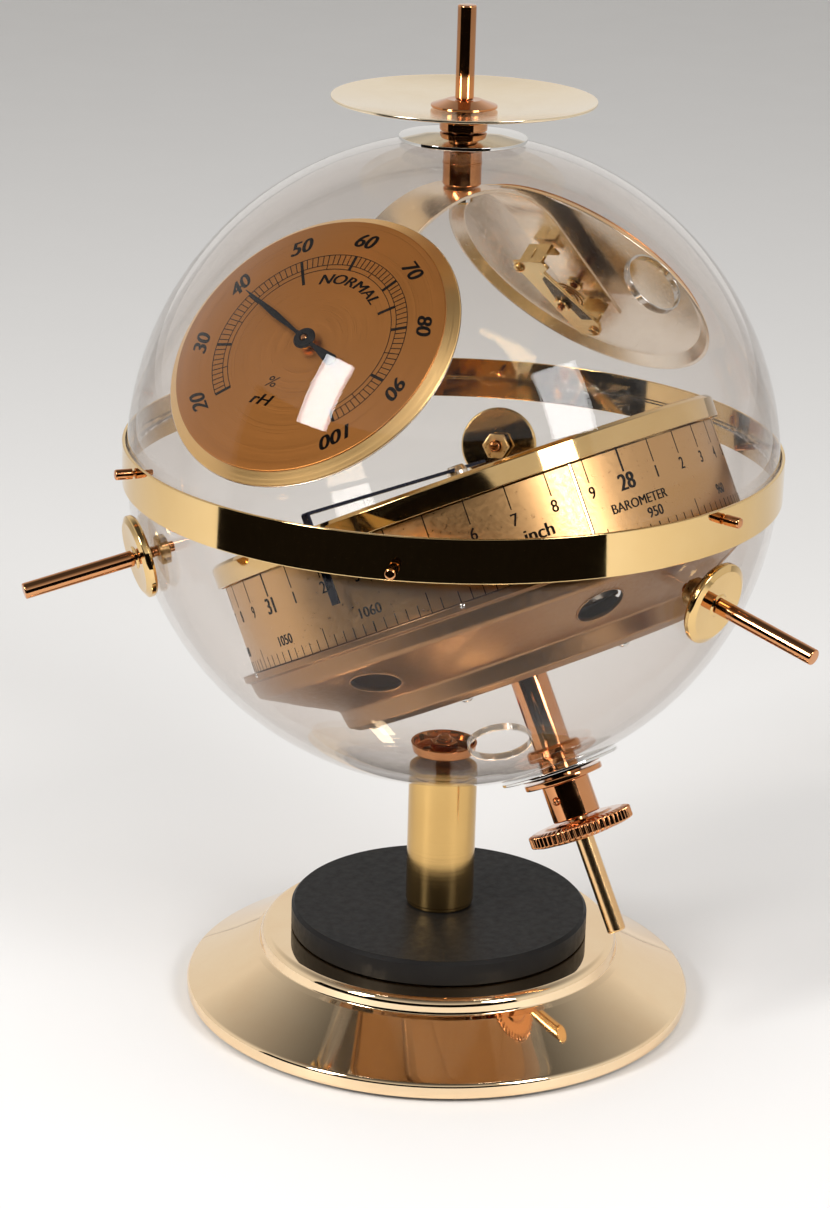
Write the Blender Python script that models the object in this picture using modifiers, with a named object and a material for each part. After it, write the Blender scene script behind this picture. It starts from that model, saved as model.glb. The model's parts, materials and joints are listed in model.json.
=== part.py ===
"""Desk weather station: a clear two-part globe on a turned foot, with a tilted drum barometer, a hygrometer
and a thermometer inside it, three antenna rods round it and a dish on top.

Lengths below are in millimetres and angles in degrees. Blender's own units are metres, +Z is up, and -Y is
the front, the side of the barometer's knob. The origin is on the globe's vertical axis at the underside of
the base pad.
"""

import math

import bmesh
import bpy
from mathutils import Matrix, Vector

MM = 0.001
GAP = 0.3  # between two pieces that touch

# Flat sides round a turned piece, by its size
WIDE = 36
MIDDLE = 24
SMALL = 16
TINY = 10

# Globe and the band round its equator
GLOBE_Z = 159.3
GLOBE_R = 89.6
GLOBE_WALL = 2.0
GLOBE_INNER_R = GLOBE_R - GLOBE_WALL
BAND_INNER_R = GLOBE_R + GAP
BAND_OUTER_R = 90.8
BAND_HALF_HEIGHT = 5.9
VENT_R = 8.5
VENTS = {"upper": (0.0, 43.4), "lower": (-38.5, -40.4)}  # azimuth from the front towards +X, latitude
TOP_HOLE_R = 3.3
BOTTOM_HOLE_R = 2.3
STEM_HOLE_R = 5.6

# Band screws: three hold the upper half, and three between them the lower half
BAND_SCREW_STEP = 60.0
BAND_SCREW_UPPER_Z = 3.0
BAND_SCREW_LOWER_Z = -2.6
BAND_SCREW_HEAD_R = 1.45
BAND_SCREW_SHANK_R = 0.8
BAND_SCREW_END = 95.8

# Antennas
ANTENNA_AZIMUTHS = {"front": 0.0, "right": 120.0, "left": -120.0}
ANTENNA_LATITUDE = -12.6
ANTENNA_TIP = 123.8
ANTENNA_ROD_R = 2.2
ANTENNA_DISC_R = 11.4
ANTENNA_DISC_THICK = 3.1
STUD_R = 1.4
STUD_HOLE_R = STUD_R + GAP

# Foot, plinth and post
FOOT_R = 72.2
FOOT_SHOULDER_R = 51.4
FOOT_TOP_Z = 20.3
PAD_R = 69.8
PAD_THICK = 1.6
PLINTH_R = 42.4
PLINTH_TOP_Z = 27.6
POST_R = 9.7
POST_BORE_R = 7.9
TIE_ROD_R = 1.9
TIE_HOLE_R = TIE_ROD_R + GAP

# Top fitting, heights above the globe's centre
TOP_TIP = 124.7
TOP_ROD_R = 2.5
DISH_R = 35.5
DISH_CENTRE = 97.0
DISH_RISE = 3.4
DISH_THICK = 0.8
HANGER_STEM_R = 5.2
HANGER_STEM_BOTTOM = 76.8

# Hanger strap
STRAP_TOP = HANGER_STEM_BOTTOM - GAP
STRAP_THICK = 1.0
STRAP_HALF_WIDTH = 8.5
STRAP_TURN = -4.4  # about the vertical, so that it runs behind both dials' arbors
STRAP_DEPTH = {"hygrometer": 1.9, "thermometer": 1.3}  # from a dial's rim plane back to the strap's middle
STRAP_PAST_DIAL = 10.0  # beyond a dial's centre
STRAP_ARC_STEPS = 8

# Dials: normal azimuth, normal latitude, and the centre of the pan's rim from the globe's centre
DIALS = {
    "hygrometer": (-86.5, 44.8, (-55.7, 2.6, 40.7)),
    "thermometer": (88.8, 44.0, (51.2, -1.8, 43.2)),
}
PAN_R = 41.7
PAN_FACE_R = 38.6
PAN_FACE_Z = 2.8  # the face, in front of the rim's plane
PAN_SHEET = 0.8
HAND_Z = PAN_FACE_Z + 2.4
HAND_THICK = 0.5
HAND_TIP = 27.5
HAND_TAIL = 13.5
HAND_HUB_R = 3.1
DIAL_ARBOR_R = 0.9
DIAL_REST_ANGLE = {"hygrometer": 68.0, "thermometer": 0.0}  # anticlockwise from straight up
BRACKET_TOP = {"hygrometer": -3.7, "thermometer": -2.6}  # its feet, from the rim's plane
BRACKET_WEB = -8.9
BRACKET_SHEET = 0.9
BRACKET_WALLS = (-8.5, 18.9)  # where its end walls stand, from the arbor along the bracket
BRACKET_TAIL = -14.8  # where its web ends
BRACKET_FOOT = 4.0
BRACKET_SIDES = (-7.8, 5.6)
BRACKET_TURN = -14.4
COIL_Z = -5.9
COIL_INNER_R = 2.2
COIL_OUTER_R = 5.8
COIL_POINTS = 25
COIL_STEP = 36.0

# Barometer: a drum on a tilted stem through the globe's centre; heights are along its axis from that centre
BARO_TILT = 27.5
BEZEL_R = 72.5
BEZEL_TOP = -6.0
BEZEL_BOTTOM = -12.5
DRUM_R = 70.5
DRUM_BOTTOM = -37.0
HOUSING_FLANGE_R = 73.9
HOUSING_CORNER_R = 71.9
HOUSING_CORNER_Z = -44.2
HOUSING_PAN_R = 52.1
HOUSING_PAN_Z = -54.9
HOUSING_BOTTOM = -61.5
HOUSING_HOLES = 6
HOUSING_HOLE_R = 6.7
HOUSING_HOLE_AZIMUTH = -26.0
STEM_R = 5.2
COLLAR_R = 6.7
KNOB_R = 14.7
KNOB_TOP = -104.0
KNOB_BOTTOM = -109.2
KNOB_RIBS = 30
KNOB_ROD_R = 2.6
KNOB_ROD_END = -137.0
POINTER_R = 74.7
POINTER_DROP = -27.0
POINTER_REST_ANGLE = 189.2  # anticlockwise from +X, seen from above
ARBOR_R = 1.0

# Barometer gears
PINION_TEETH = 8
GEAR_RATIO = 12
PINION_PITCH_R = 1.5
SECTOR_PITCH_R = PINION_PITCH_R * GEAR_RATIO
GEAR_PLAY = 0.12
GEAR_CENTRES = PINION_PITCH_R + SECTOR_PITCH_R + GEAR_PLAY
ADDENDUM = 0.35
DEDENDUM = 0.45
TOOTH_SHARE = 0.36  # of the circular pitch, at the pitch circle
SECTOR_FROM = -34
SECTOR_TO = 8
GEAR_TOP = -24.0
BRIDGE_TOP = -30.0

GOLD = ("gold_plate", (0.86, 0.66, 0.33), 0.12, 1.0)
COPPER = ("copper_plate", (0.76, 0.42, 0.24), 0.14, 1.0)
SATIN_GOLD = ("satin_gold", (0.72, 0.50, 0.25), 0.35, 1.0)
BRONZE = ("dial_bronze", (0.52, 0.31, 0.12), 0.38, 1.0)
CHROME = ("chrome", (0.72, 0.72, 0.72), 0.08, 1.0)
STEEL = ("satin_steel", (0.55, 0.52, 0.48), 0.30, 1.0)
IRON = ("cast_iron", (0.12, 0.12, 0.12), 0.60, 1.0)
BLACK = ("black_paint", (0.02, 0.02, 0.022), 0.35, 0.0)
BLUED = ("blued_steel", (0.03, 0.04, 0.09), 0.25, 1.0)
FELT = ("black_felt", (0.03, 0.03, 0.03), 0.90, 0.0)
ACRYLIC = ("clear_acrylic", (0.93, 0.90, 0.88), 0.02, 0.0)


def clear_scene():
    for obj in list(bpy.data.objects):
        bpy.data.objects.remove(obj, do_unlink=True)


def new_collection(name):
    made = bpy.data.collections.new(name)
    bpy.context.scene.collection.children.link(made)
    return made


clear_scene()
PARTS = new_collection("weather_station")
CUTTERS = new_collection("cutters")
CUTTERS.hide_render = True


def material(finish):
    name, colour, roughness, metallic = finish
    made = bpy.data.materials.get(name) or bpy.data.materials.new(name)
    made.use_nodes = True
    shader = made.node_tree.nodes["Principled BSDF"]
    shader.inputs["Base Color"].default_value = (*colour, 1.0)
    shader.inputs["Roughness"].default_value = roughness
    shader.inputs["Metallic"].default_value = metallic
    if finish is ACRYLIC:
        shader.inputs["Alpha"].default_value = 0.35
    made.diffuse_color = (*colour, 0.35 if finish is ACRYLIC else 1.0)
    return made


def frame(origin, axis, towards=(0, 0, 1)):
    """A frame with its Z along axis and its Y as near to towards as it can be. The origin is in mm."""
    z = Vector(axis).normalized()
    x = Vector(towards).cross(z).normalized()
    y = z.cross(x)
    turn = Matrix((x, y, z)).transposed().to_4x4()
    return Matrix.Translation(Vector(origin) * MM) @ turn


def direction(azimuth, latitude):
    """A unit vector: azimuth from the front towards +X, latitude above the horizon."""
    a = math.radians(azimuth)
    b = math.radians(latitude)
    return Vector((math.sin(a) * math.cos(b), -math.cos(a) * math.cos(b), math.sin(b)))


CENTRE = Vector((0, 0, GLOBE_Z))
UPRIGHT = Matrix.Identity(4)
GLOBE = Matrix.Translation(CENTRE * MM)
OFF_SEAM = GLOBE @ Matrix.Rotation(math.radians(3.7), 4, "Z")  # keeps drilled holes off the faces' edges
BAROMETER = Matrix.Translation(CENTRE * MM) @ Matrix.Rotation(-math.radians(BARO_TILT), 4, "X")


def moved(base, x=0.0, y=0.0, z=0.0):
    return base @ Matrix.Translation(Vector((x, y, z)) * MM)


def keep(obj, name, finish, place):
    """Names and places the object, and files it as a part, or as a cutter when it has no finish."""
    obj.name = name
    obj.data.name = name
    obj.matrix_world = place
    if finish is None:
        CUTTERS.objects.link(obj)
        obj.hide_render = True
        obj.display_type = "WIRE"
        return obj
    PARTS.objects.link(obj)
    obj.data.materials.append(material(finish))
    return obj


def arc(centre_r, centre_z, radius, start, end, steps):
    """Points of a profile's round stretch, from start to end degrees, 0 outwards and 90 up."""
    turns = [math.radians(start + (end - start) * i / steps) for i in range(steps + 1)]
    return [(centre_r + radius * math.cos(t), centre_z + radius * math.sin(t)) for t in turns]


def turned(name, finish, profile, steps, place=UPRIGHT):
    """A profile of (radius, height) points, down the outside and up the inside, turned round Z."""
    on_axis = profile[0][0] == 0
    mesh = bpy.data.meshes.new(name)
    edges = [(i, i + 1) for i in range(len(profile) - 1)]
    if not on_axis:
        edges.append((len(profile) - 1, 0))
    mesh.from_pydata([(r * MM, 0, z * MM) for r, z in profile], edges, [])
    obj = keep(bpy.data.objects.new(name, mesh), name, finish, place)
    screw = obj.modifiers.new("turn", "SCREW")
    screw.axis = "Z"
    screw.steps = steps
    screw.render_steps = steps
    screw.use_smooth_shade = True
    screw.use_merge_vertices = True
    screw.merge_threshold = 0.00001
    return obj


def cylinder(name, finish, radius, bottom, top, sides, place=UPRIGHT):
    """A round or, with few sides, a polygonal bar along Z."""
    mesh = bpy.data.meshes.new(name)
    made = bmesh.new()
    bmesh.ops.create_cone(made, cap_ends=True, segments=sides, radius1=radius * MM, radius2=radius * MM,
                          depth=(top - bottom) * MM)
    bmesh.ops.translate(made, verts=made.verts, vec=(0, 0, (top + bottom) / 2 * MM))
    made.to_mesh(mesh)
    made.free()
    return keep(bpy.data.objects.new(name, mesh), name, finish, place)


def outline(name, finish, loops, bottom, top, place=UPRIGHT):
    """A flat outline, with any holes as further loops, made as thick as bottom to top along Z."""
    curve = bpy.data.curves.new(name, "CURVE")
    curve.dimensions = "2D"
    curve.fill_mode = "BOTH"
    curve.extrude = (top - bottom) / 2 * MM
    for loop in loops:
        spline = curve.splines.new("POLY")
        spline.points.add(len(loop) - 1)
        for point, (x, y) in zip(spline.points, loop):
            point.co = (x * MM, y * MM, 0, 1)
        spline.use_cyclic_u = True
    return solid_of_curve(name, finish, curve, place @ Matrix.Translation((0, 0, (top + bottom) / 2 * MM)))


def wire(name, finish, points, radius, place=UPRIGHT):
    """A round wire through the points, with closed ends."""
    curve = bpy.data.curves.new(name, "CURVE")
    curve.dimensions = "3D"
    curve.bevel_depth = radius * MM
    curve.bevel_resolution = 0
    curve.use_fill_caps = True
    spline = curve.splines.new("POLY")
    spline.points.add(len(points) - 1)
    for point, (x, y, z) in zip(spline.points, points):
        point.co = (x * MM, y * MM, z * MM, 1)
    return solid_of_curve(name, finish, curve, place)


def solid_of_curve(name, finish, curve, place):
    """The curve's solid as a mesh, with its caps welded on, so that a Boolean can use it."""
    helper = bpy.data.objects.new(name + "_curve", curve)
    bpy.context.scene.collection.objects.link(helper)
    bpy.context.view_layer.update()
    mesh = bpy.data.meshes.new_from_object(helper.evaluated_get(bpy.context.evaluated_depsgraph_get()))
    bpy.data.objects.remove(helper)
    welded = bmesh.new()
    welded.from_mesh(mesh)
    bmesh.ops.remove_doubles(welded, verts=welded.verts, dist=0.000002)
    bmesh.ops.recalc_face_normals(welded, faces=welded.faces)
    welded.to_mesh(mesh)
    welded.free()
    return keep(bpy.data.objects.new(name, mesh), name, finish, place)


def boolean(obj, other, operation="DIFFERENCE"):
    made = obj.modifiers.new(operation.lower(), "BOOLEAN")
    made.operation = operation
    made.solver = "EXACT"
    made.object = other
    other.hide_render = True


def drill(obj, place, radius, bottom, top, sides=12):
    """Cuts a round hole along the place's Z."""
    cutter = cylinder(f"cut_{obj.name}_{len(obj.modifiers)}", None, radius, bottom, top, sides, place)
    boolean(obj, cutter)


def ring(radius, sides, start=0.0):
    turns = [math.radians(start + 360 * i / sides) for i in range(sides)]
    return [(radius * math.cos(t), radius * math.sin(t)) for t in turns]


def make_foot():
    cylinder("base_pad", FELT, PAD_R, 0, PAD_THICK, WIDE)
    outside = [(TIE_HOLE_R, FOOT_TOP_Z)] + arc(48.6, FOOT_TOP_Z - 2.4, 2.4, 90, 10, 2)
    outside += [(FOOT_SHOULDER_R, 16.4), (52.9, 15.5), (70.0, 6.2)]
    outside += arc(FOOT_R - 1.6, 4.2, 1.6, 60, 0, 1) + arc(FOOT_R - 1.6, 2.2, 1.6, 0, -90, 2)
    inside = [(70.2, 1.7), (71.2, 2.2), (71.2, 4.2), (69.6, 5.3), (52.2, 14.7)]
    inside += [(50.2, 15.9), (48.4, FOOT_TOP_Z - 0.9), (TIE_HOLE_R, FOOT_TOP_Z - 0.9)]
    turned("foot_shell", GOLD, outside + inside, WIDE)
    weight = [(TIE_HOLE_R, 18.9), (47.6, 18.9), (49.0, 15.6), (68.5, 4.9)]
    weight += [(68.5, PAD_THICK + GAP), (5.2, PAD_THICK + GAP), (5.2, 6.2), (TIE_HOLE_R, 6.2)]
    turned("foot_weight", IRON, weight, MIDDLE)
    bottom = FOOT_TOP_Z + GAP
    plinth = [(TIE_HOLE_R, PLINTH_TOP_Z)] + arc(PLINTH_R - 0.9, PLINTH_TOP_Z - 0.9, 0.9, 90, 0, 1)
    plinth += [(PLINTH_R, bottom), (TIE_HOLE_R, bottom)]
    turned("plinth_disc", BLACK, plinth, WIDE)


def make_post():
    globe_seat = GLOBE_Z - math.sqrt(GLOBE_R**2 - POST_BORE_R**2) - GAP
    bottom = PLINTH_TOP_Z + GAP
    tube = [(POST_BORE_R, globe_seat), (POST_R, globe_seat), (POST_R, bottom)]
    tube += [(TIE_HOLE_R, bottom), (TIE_HOLE_R, bottom + 3), (POST_BORE_R, bottom + 3)]
    turned("post_tube", SATIN_GOLD, tube, MIDDLE)
    rod_top = GLOBE_Z - 80.6
    rod = [(0, rod_top), (1.4, rod_top), (TIE_ROD_R, rod_top - 0.5), (TIE_ROD_R, 5.8)]
    rod += [(4.4, 5.8), (4.4, 2.3), (0, 2.3)]
    turned("tie_rod", COPPER, rod, TINY)
    cup = [(9.4, -82.5), (8.7, -85.6), (TIE_HOLE_R, -86.0), (TIE_HOLE_R, -85.3), (8.2, -84.9), (8.8, -82.5)]
    turned("globe_cup_washer", COPPER, cup, SMALL, GLOBE)
    outline("globe_nut", COPPER, [ring(3.9, 6), ring(TIE_HOLE_R, TINY)], -85.0, -82.3, GLOBE)


def shell_profile(hole_r, first_z):
    """Half the globe's wall, from its polar hole down to first_z, above the equator."""
    def stretch(radius, steps):
        top = math.degrees(math.acos(hole_r / radius))
        low = math.degrees(math.asin(first_z / radius))
        return arc(0, 0, radius, top, low, steps)
    return stretch(GLOBE_R, 9) + stretch(GLOBE_INNER_R, 9)[::-1]


def radial(azimuth, latitude, height=0.0):
    """A frame at the globe's centre, or above it, with Z pointing out in that direction."""
    return frame(CENTRE + Vector((0, 0, height)), direction(azimuth, latitude))


def band_screw_places():
    """Each band screw's number, the globe half that it holds, and its frame."""
    for i in range(6):
        half = "upper" if i % 2 == 0 else "lower"
        height = BAND_SCREW_UPPER_Z if half == "upper" else BAND_SCREW_LOWER_Z
        yield i + 1, half, radial(i * BAND_SCREW_STEP, 0, height)


def make_globe():
    upper = turned("globe_upper", ACRYLIC, shell_profile(TOP_HOLE_R, GAP / 2), WIDE, OFF_SEAM)
    lower_profile = [(r, -z) for r, z in shell_profile(BOTTOM_HOLE_R, GAP / 2)][::-1]
    lower = turned("globe_lower", ACRYLIC, lower_profile, WIDE, OFF_SEAM)
    halves = {"upper": upper, "lower": lower}
    for half, (azimuth, latitude) in VENTS.items():
        drill(halves[half], radial(azimuth, latitude), VENT_R, 80, 95, SMALL)
    for azimuth in ANTENNA_AZIMUTHS.values():
        drill(lower, radial(azimuth, ANTENNA_LATITUDE), STUD_HOLE_R, 80, 95, 8)
    drill(lower, BAROMETER, STEM_HOLE_R, -95, -80, TINY)
    band = [(BAND_OUTER_R, BAND_HALF_HEIGHT), (BAND_OUTER_R, -BAND_HALF_HEIGHT)]
    band += [(BAND_INNER_R, -BAND_HALF_HEIGHT), (BAND_INNER_R, BAND_HALF_HEIGHT)]
    band = turned("equator_band", GOLD, band, WIDE, OFF_SEAM)
    for number, half, place in band_screw_places():
        hole_r = BAND_SCREW_SHANK_R + GAP
        drill(halves[half], place, hole_r, 80, 94, 8)
        drill(band, place, hole_r, 80, 94, 8)
        inner, seat = 85.4, BAND_OUTER_R + GAP
        screw = [(0, BAND_SCREW_END), (BAND_SCREW_HEAD_R, BAND_SCREW_END), (BAND_SCREW_HEAD_R, seat)]
        screw += [(BAND_SCREW_SHANK_R, seat), (BAND_SCREW_SHANK_R, inner), (0, inner)]
        turned(f"band_screw_{number}", COPPER, screw, TINY, place)


def make_antennas():
    for side, azimuth in ANTENNA_AZIMUTHS.items():
        place = radial(azimuth, ANTENNA_LATITUDE)
        back = GLOBE_R + GAP
        face = back + ANTENNA_DISC_THICK
        disc = [(STUD_HOLE_R, face), (ANTENNA_DISC_R - 0.9, face), (ANTENNA_DISC_R, face - 0.9)]
        disc += [(ANTENNA_DISC_R, back), (STUD_HOLE_R, back)]
        turned(f"antenna_disc_{side}", GOLD, disc, MIDDLE, place)
        rod = [(0, ANTENNA_TIP), (ANTENNA_ROD_R, ANTENNA_TIP), (ANTENNA_ROD_R, face + GAP)]
        rod += [(STUD_R, face + GAP), (STUD_R, 81.5), (0, 81.5)]
        turned(f"antenna_rod_{side}", COPPER, rod, TINY, place)
        outline(f"antenna_nut_{side}", SATIN_GOLD, [ring(4.1, 6), ring(STUD_HOLE_R, 8)], 83.3, 86.1, place)


def dish_profile():
    def surface(r):
        return DISH_CENTRE + DISH_RISE * (r / DISH_R) ** 2
    radii = [2.3, 14, 25, DISH_R]
    top = [(r, surface(r)) for r in radii]
    return top + [(r, z - DISH_THICK) for r, z in reversed(top)]


def make_top():
    rod = [(0, TOP_TIP), (TOP_ROD_R, TOP_TIP), (TOP_ROD_R, 100.1), (1.9, 100.1), (1.9, 82.5), (0, 82.5)]
    turned("top_rod", COPPER, rod, TINY, GLOBE)
    cap = [(2.3, 99.8), (4.6, 99.8), (8.9, 98.2), (8.9, 97.6), (2.3, 97.4)]
    turned("top_cap_washer", COPPER, cap, MIDDLE, GLOBE)
    turned("top_dish", SATIN_GOLD, dish_profile(), WIDE, GLOBE)
    spacer = [(2.3, 95.9), (4.4, 95.9), (4.4, 94.6), (6.4, 93.9), (6.4, 91.6), (2.3, 91.6)]
    turned("top_spacer", COPPER, spacer, SMALL, GLOBE)
    washer = [(2.9, 91.3), (10.0, 91.1), (17.2, 89.9), (17.2, 88.9), (10.0, 90.1), (2.9, 90.3)]
    turned("top_washer", CHROME, washer, MIDDLE, GLOBE)
    end = HANGER_STEM_BOTTOM
    stem = [(0, 82.1), (2.3, 82.1), (2.3, 86.3), (HANGER_STEM_R, 86.3), (HANGER_STEM_R, end + 0.4)]
    stem += [(HANGER_STEM_R - 0.4, end), (1.5, end), (1.5, 80.9), (0, 80.9)]
    turned("hanger_stem", COPPER, stem, SMALL, GLOBE)


def strap_arm(name):
    """Points of one arm in the strap's own upright plane: an arc down from the crown, then straight on."""
    azimuth, latitude, centre = DIALS[name]
    normal = direction(azimuth, latitude)
    outwards = math.copysign(1, centre[0])
    turn = math.radians(STRAP_TURN)
    along = outwards * Vector((math.cos(turn), math.sin(turn), 0))
    lean = normal.dot(along)
    level = normal.dot(Vector(centre)) - STRAP_DEPTH[name]
    slope = math.atan2(lean, normal.z)
    crown = STRAP_TOP - STRAP_THICK / 2
    radius = (level / math.hypot(lean, normal.z) - crown * math.cos(slope)) / (1 - math.cos(slope))
    turns = [slope * i / STRAP_ARC_STEPS for i in range(STRAP_ARC_STEPS + 1)]
    line = [(radius * math.sin(t), crown - radius * (1 - math.cos(t))) for t in turns]
    end = along.dot(Vector(centre)) + STRAP_PAST_DIAL * math.cos(slope)
    line.append((end, (level - lean * end) / normal.z))
    return [(outwards * x, z) for x, z in line]


def make_hanger():
    line = strap_arm("hygrometer")[::-1] + strap_arm("thermometer")[1:]
    over, under = [], []
    for i, (x, z) in enumerate(line):
        before = line[max(i - 1, 0)]
        after = line[min(i + 1, len(line) - 1)]
        along = Vector((after[0] - before[0], after[1] - before[1])).normalized() * STRAP_THICK / 2
        over.append((x - along.y, z + along.x))
        under.append((x + along.y, z - along.x))
    standing = GLOBE @ Matrix.Rotation(math.radians(STRAP_TURN), 4, "Z")
    standing = standing @ Matrix.Rotation(math.radians(90), 4, "X")
    half = STRAP_HALF_WIDTH
    strap = outline("hanger_strap", STEEL, [over + under[::-1]], -half, half, standing)
    drill(strap, GLOBE, 1.5, 60, 80, TINY)
    for name in DIALS:
        drill(strap, dial_frame(name), DIAL_ARBOR_R + GAP, -5, 0.5, 10)
    head = STRAP_TOP - STRAP_THICK - GAP
    screw = [(0, 80.5), (1.2, 80.5), (1.2, head), (3.1, head), (3.1, head - 2.8), (2.3, head - 3.5)]
    turned("hanger_screw", CHROME, screw + [(0, head - 3.5)], TINY, GLOBE)


def dial_frame(name):
    """The dial's frame: Z out of its face, Y up its slope, and the origin at its rim's centre."""
    azimuth, latitude, centre = DIALS[name]
    return frame(CENTRE + Vector(centre), direction(azimuth, latitude))


def make_dial(name, finish):
    place = dial_frame(name)
    face = PAN_FACE_Z
    sheet = PAN_SHEET
    pan = [(DIAL_ARBOR_R + 0.7, face), (PAN_FACE_R, face), (PAN_R, 0)]
    pan += [(PAN_R, -0.3), (PAN_R - sheet, -0.3), (PAN_FACE_R - 0.5, face - sheet)]
    pan += [(DIAL_ARBOR_R + 0.7, face - sheet)]
    turned(f"{name}_pan", finish, pan, WIDE, place)
    turn = place @ Matrix.Rotation(math.radians(DIAL_REST_ANGLE[name]), 4, "Z")
    top, bottom = HAND_Z + 1.1, BRACKET_WEB - 2.2
    arbor = [(0, top), (DIAL_ARBOR_R, top), (DIAL_ARBOR_R, bottom), (0, bottom)]
    turned(f"{name}_arbor", COPPER, arbor, TINY, turn)
    make_hand(name, turn)
    make_bracket(name, place)
    coil = []
    for i in range(COIL_POINTS):
        t = math.radians(i * COIL_STEP)
        radius = COIL_INNER_R + (COIL_OUTER_R - COIL_INNER_R) * i / (COIL_POINTS - 1)
        coil.append((radius * math.cos(t), radius * math.sin(t), COIL_Z))
    wire(f"{name}_coil", BRONZE, coil, 0.35, place)


def make_hand(name, turn):
    """A tapered hand with a round hub and a broad tail, pointing along the frame's Y."""
    turns = [math.radians(a) for a in range(18, 163, 18)]
    hub = [(HAND_HUB_R * math.sin(t), HAND_HUB_R * math.cos(t)) for t in turns]
    right = [(0.25, HAND_TIP)] + hub + [(2.2, -HAND_TAIL)]
    loop = right + [(-x, y) for x, y in reversed(right)]
    outline(f"{name}_hand", BLACK, [loop, ring(DIAL_ARBOR_R + GAP, 10)], HAND_Z, HAND_Z + HAND_THICK, turn)


def make_bracket(name, place):
    """The movement's box bracket on the strap's back: two end walls with feet turned inwards, and a web."""
    foot, web, sheet = BRACKET_TOP[name], BRACKET_WEB, BRACKET_SHEET
    low, high = BRACKET_WALLS
    loop = [(BRACKET_TAIL, web), (high, web), (high, foot), (high - BRACKET_FOOT, foot)]
    loop += [(high - BRACKET_FOOT, foot - sheet), (high - sheet, foot - sheet), (high - sheet, web + sheet)]
    loop += [(low + sheet, web + sheet), (low + sheet, foot - sheet), (low + BRACKET_FOOT, foot - sheet)]
    loop += [(low + BRACKET_FOOT, foot), (low, foot), (low, web + sheet), (BRACKET_TAIL, web + sheet)]
    on_edge = place @ Matrix.Rotation(math.radians(90 + BRACKET_TURN), 4, "Z")
    on_edge = on_edge @ Matrix.Rotation(math.radians(90), 4, "X")
    bracket = outline(f"{name}_bracket", SATIN_GOLD, [loop], *BRACKET_SIDES, on_edge)
    drill(bracket, place, DIAL_ARBOR_R + GAP, web - 2, web + 2, 10)


def tooth_loop(pitch_r, teeth, phase, first, last):
    """Points of trapezium teeth round a centre, from tooth number first to last, anticlockwise."""
    step = 2 * math.pi / teeth
    half_pitch = step * TOOTH_SHARE / 2
    half_tip, half_root = half_pitch * 0.6, half_pitch * 1.4
    points = []
    for i in range(first, last + 1):
        middle = (i + phase) * step
        for radius, turn in ((pitch_r - DEDENDUM, -half_root), (pitch_r + ADDENDUM, -half_tip),
                             (pitch_r + ADDENDUM, half_tip), (pitch_r - DEDENDUM, half_root)):
            points.append((radius * math.cos(middle + turn), radius * math.sin(middle + turn)))
    return points


def make_movement():
    """The aneroid capsule, the bridge over it, and the gears and lever that turn the pointer."""
    capsule = [(0, -43.4), (4, -43.4), (4, -44.6), (12, -43.8), (18, -44.8), (24, -43.8), (31, -47.0)]
    capsule += [(31, -49.4), (12, -52.4), (0, -52.4)]
    turned("barometer_capsule", STEEL, capsule, MIDDLE, BAROMETER)
    bridge = [(ARBOR_R + GAP, BRIDGE_TOP), (69.3, BRIDGE_TOP), (69.3, BRIDGE_TOP - 1)]
    bridge += [(ARBOR_R + GAP, BRIDGE_TOP - 1)]
    bridge = turned("barometer_bridge", SATIN_GOLD, bridge, MIDDLE, BAROMETER)
    pivot = moved(BAROMETER, x=-GEAR_CENTRES)
    boolean(bridge, cylinder("bridge_pivot", None, 1.0, BRIDGE_TOP - 0.5, GEAR_TOP + 1, 10, pivot), "UNION")
    first = math.ceil(SECTOR_FROM / 360 * PINION_TEETH * GEAR_RATIO)
    last = math.floor(SECTOR_TO / 360 * PINION_TEETH * GEAR_RATIO)
    rim = tooth_loop(SECTOR_PITCH_R, PINION_TEETH * GEAR_RATIO, 0.5, first, last)
    hub = [(3 * math.cos(math.radians(a)), 3 * math.sin(math.radians(a))) for a in range(70, 271, 40)]
    outline("barometer_sector", SATIN_GOLD, [rim + hub, ring(1.0 + GAP, 10)], GEAR_TOP - 1, GEAR_TOP, pivot)
    arbor = [(0, -3.4), (3.0, -3.4), (3.0, -4.8), (ARBOR_R, -5.0), (ARBOR_R, -36.0), (0, -36.0)]
    arbor = turned("barometer_arbor", STEEL, arbor, TINY, BAROMETER)
    pinion = tooth_loop(PINION_PITCH_R, PINION_TEETH, 0, 0, PINION_TEETH - 1)
    boolean(arbor, outline("pinion_teeth", None, [pinion], GEAR_TOP - 2, GEAR_TOP + 1, BAROMETER), "UNION")
    lever = [(-2.2, -0.6), (19.0, -0.6), (19.0, -2.2), (20.6, -2.2), (20.6, 0.6), (-2.2, 0.6)]
    on_edge = moved(BAROMETER, x=18, z=-38.5) @ Matrix.Rotation(math.radians(90), 4, "X")
    on_edge = on_edge @ Matrix.Rotation(math.pi, 4, "Y")
    outline("barometer_lever", SATIN_GOLD, [lever], -1.5, 1.5, on_edge)


def make_pointer():
    """A flat bar from a short tail across the top, over the bezel's edge and down in front of the scale."""
    top, bottom = -2.2, -3.1
    arm = [(-14, bottom), (POINTER_R, bottom), (POINTER_R, POINTER_DROP), (POINTER_R + 0.7, POINTER_DROP)]
    arm += [(POINTER_R + 0.7, top - 0.6), (POINTER_R + 0.1, top), (-14, top)]
    turn = BAROMETER @ Matrix.Rotation(math.radians(POINTER_REST_ANGLE), 4, "Z")
    turn = turn @ Matrix.Rotation(math.radians(90), 4, "X")
    outline("barometer_pointer", BLUED, [arm], -1.2, 1.2, turn)


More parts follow.
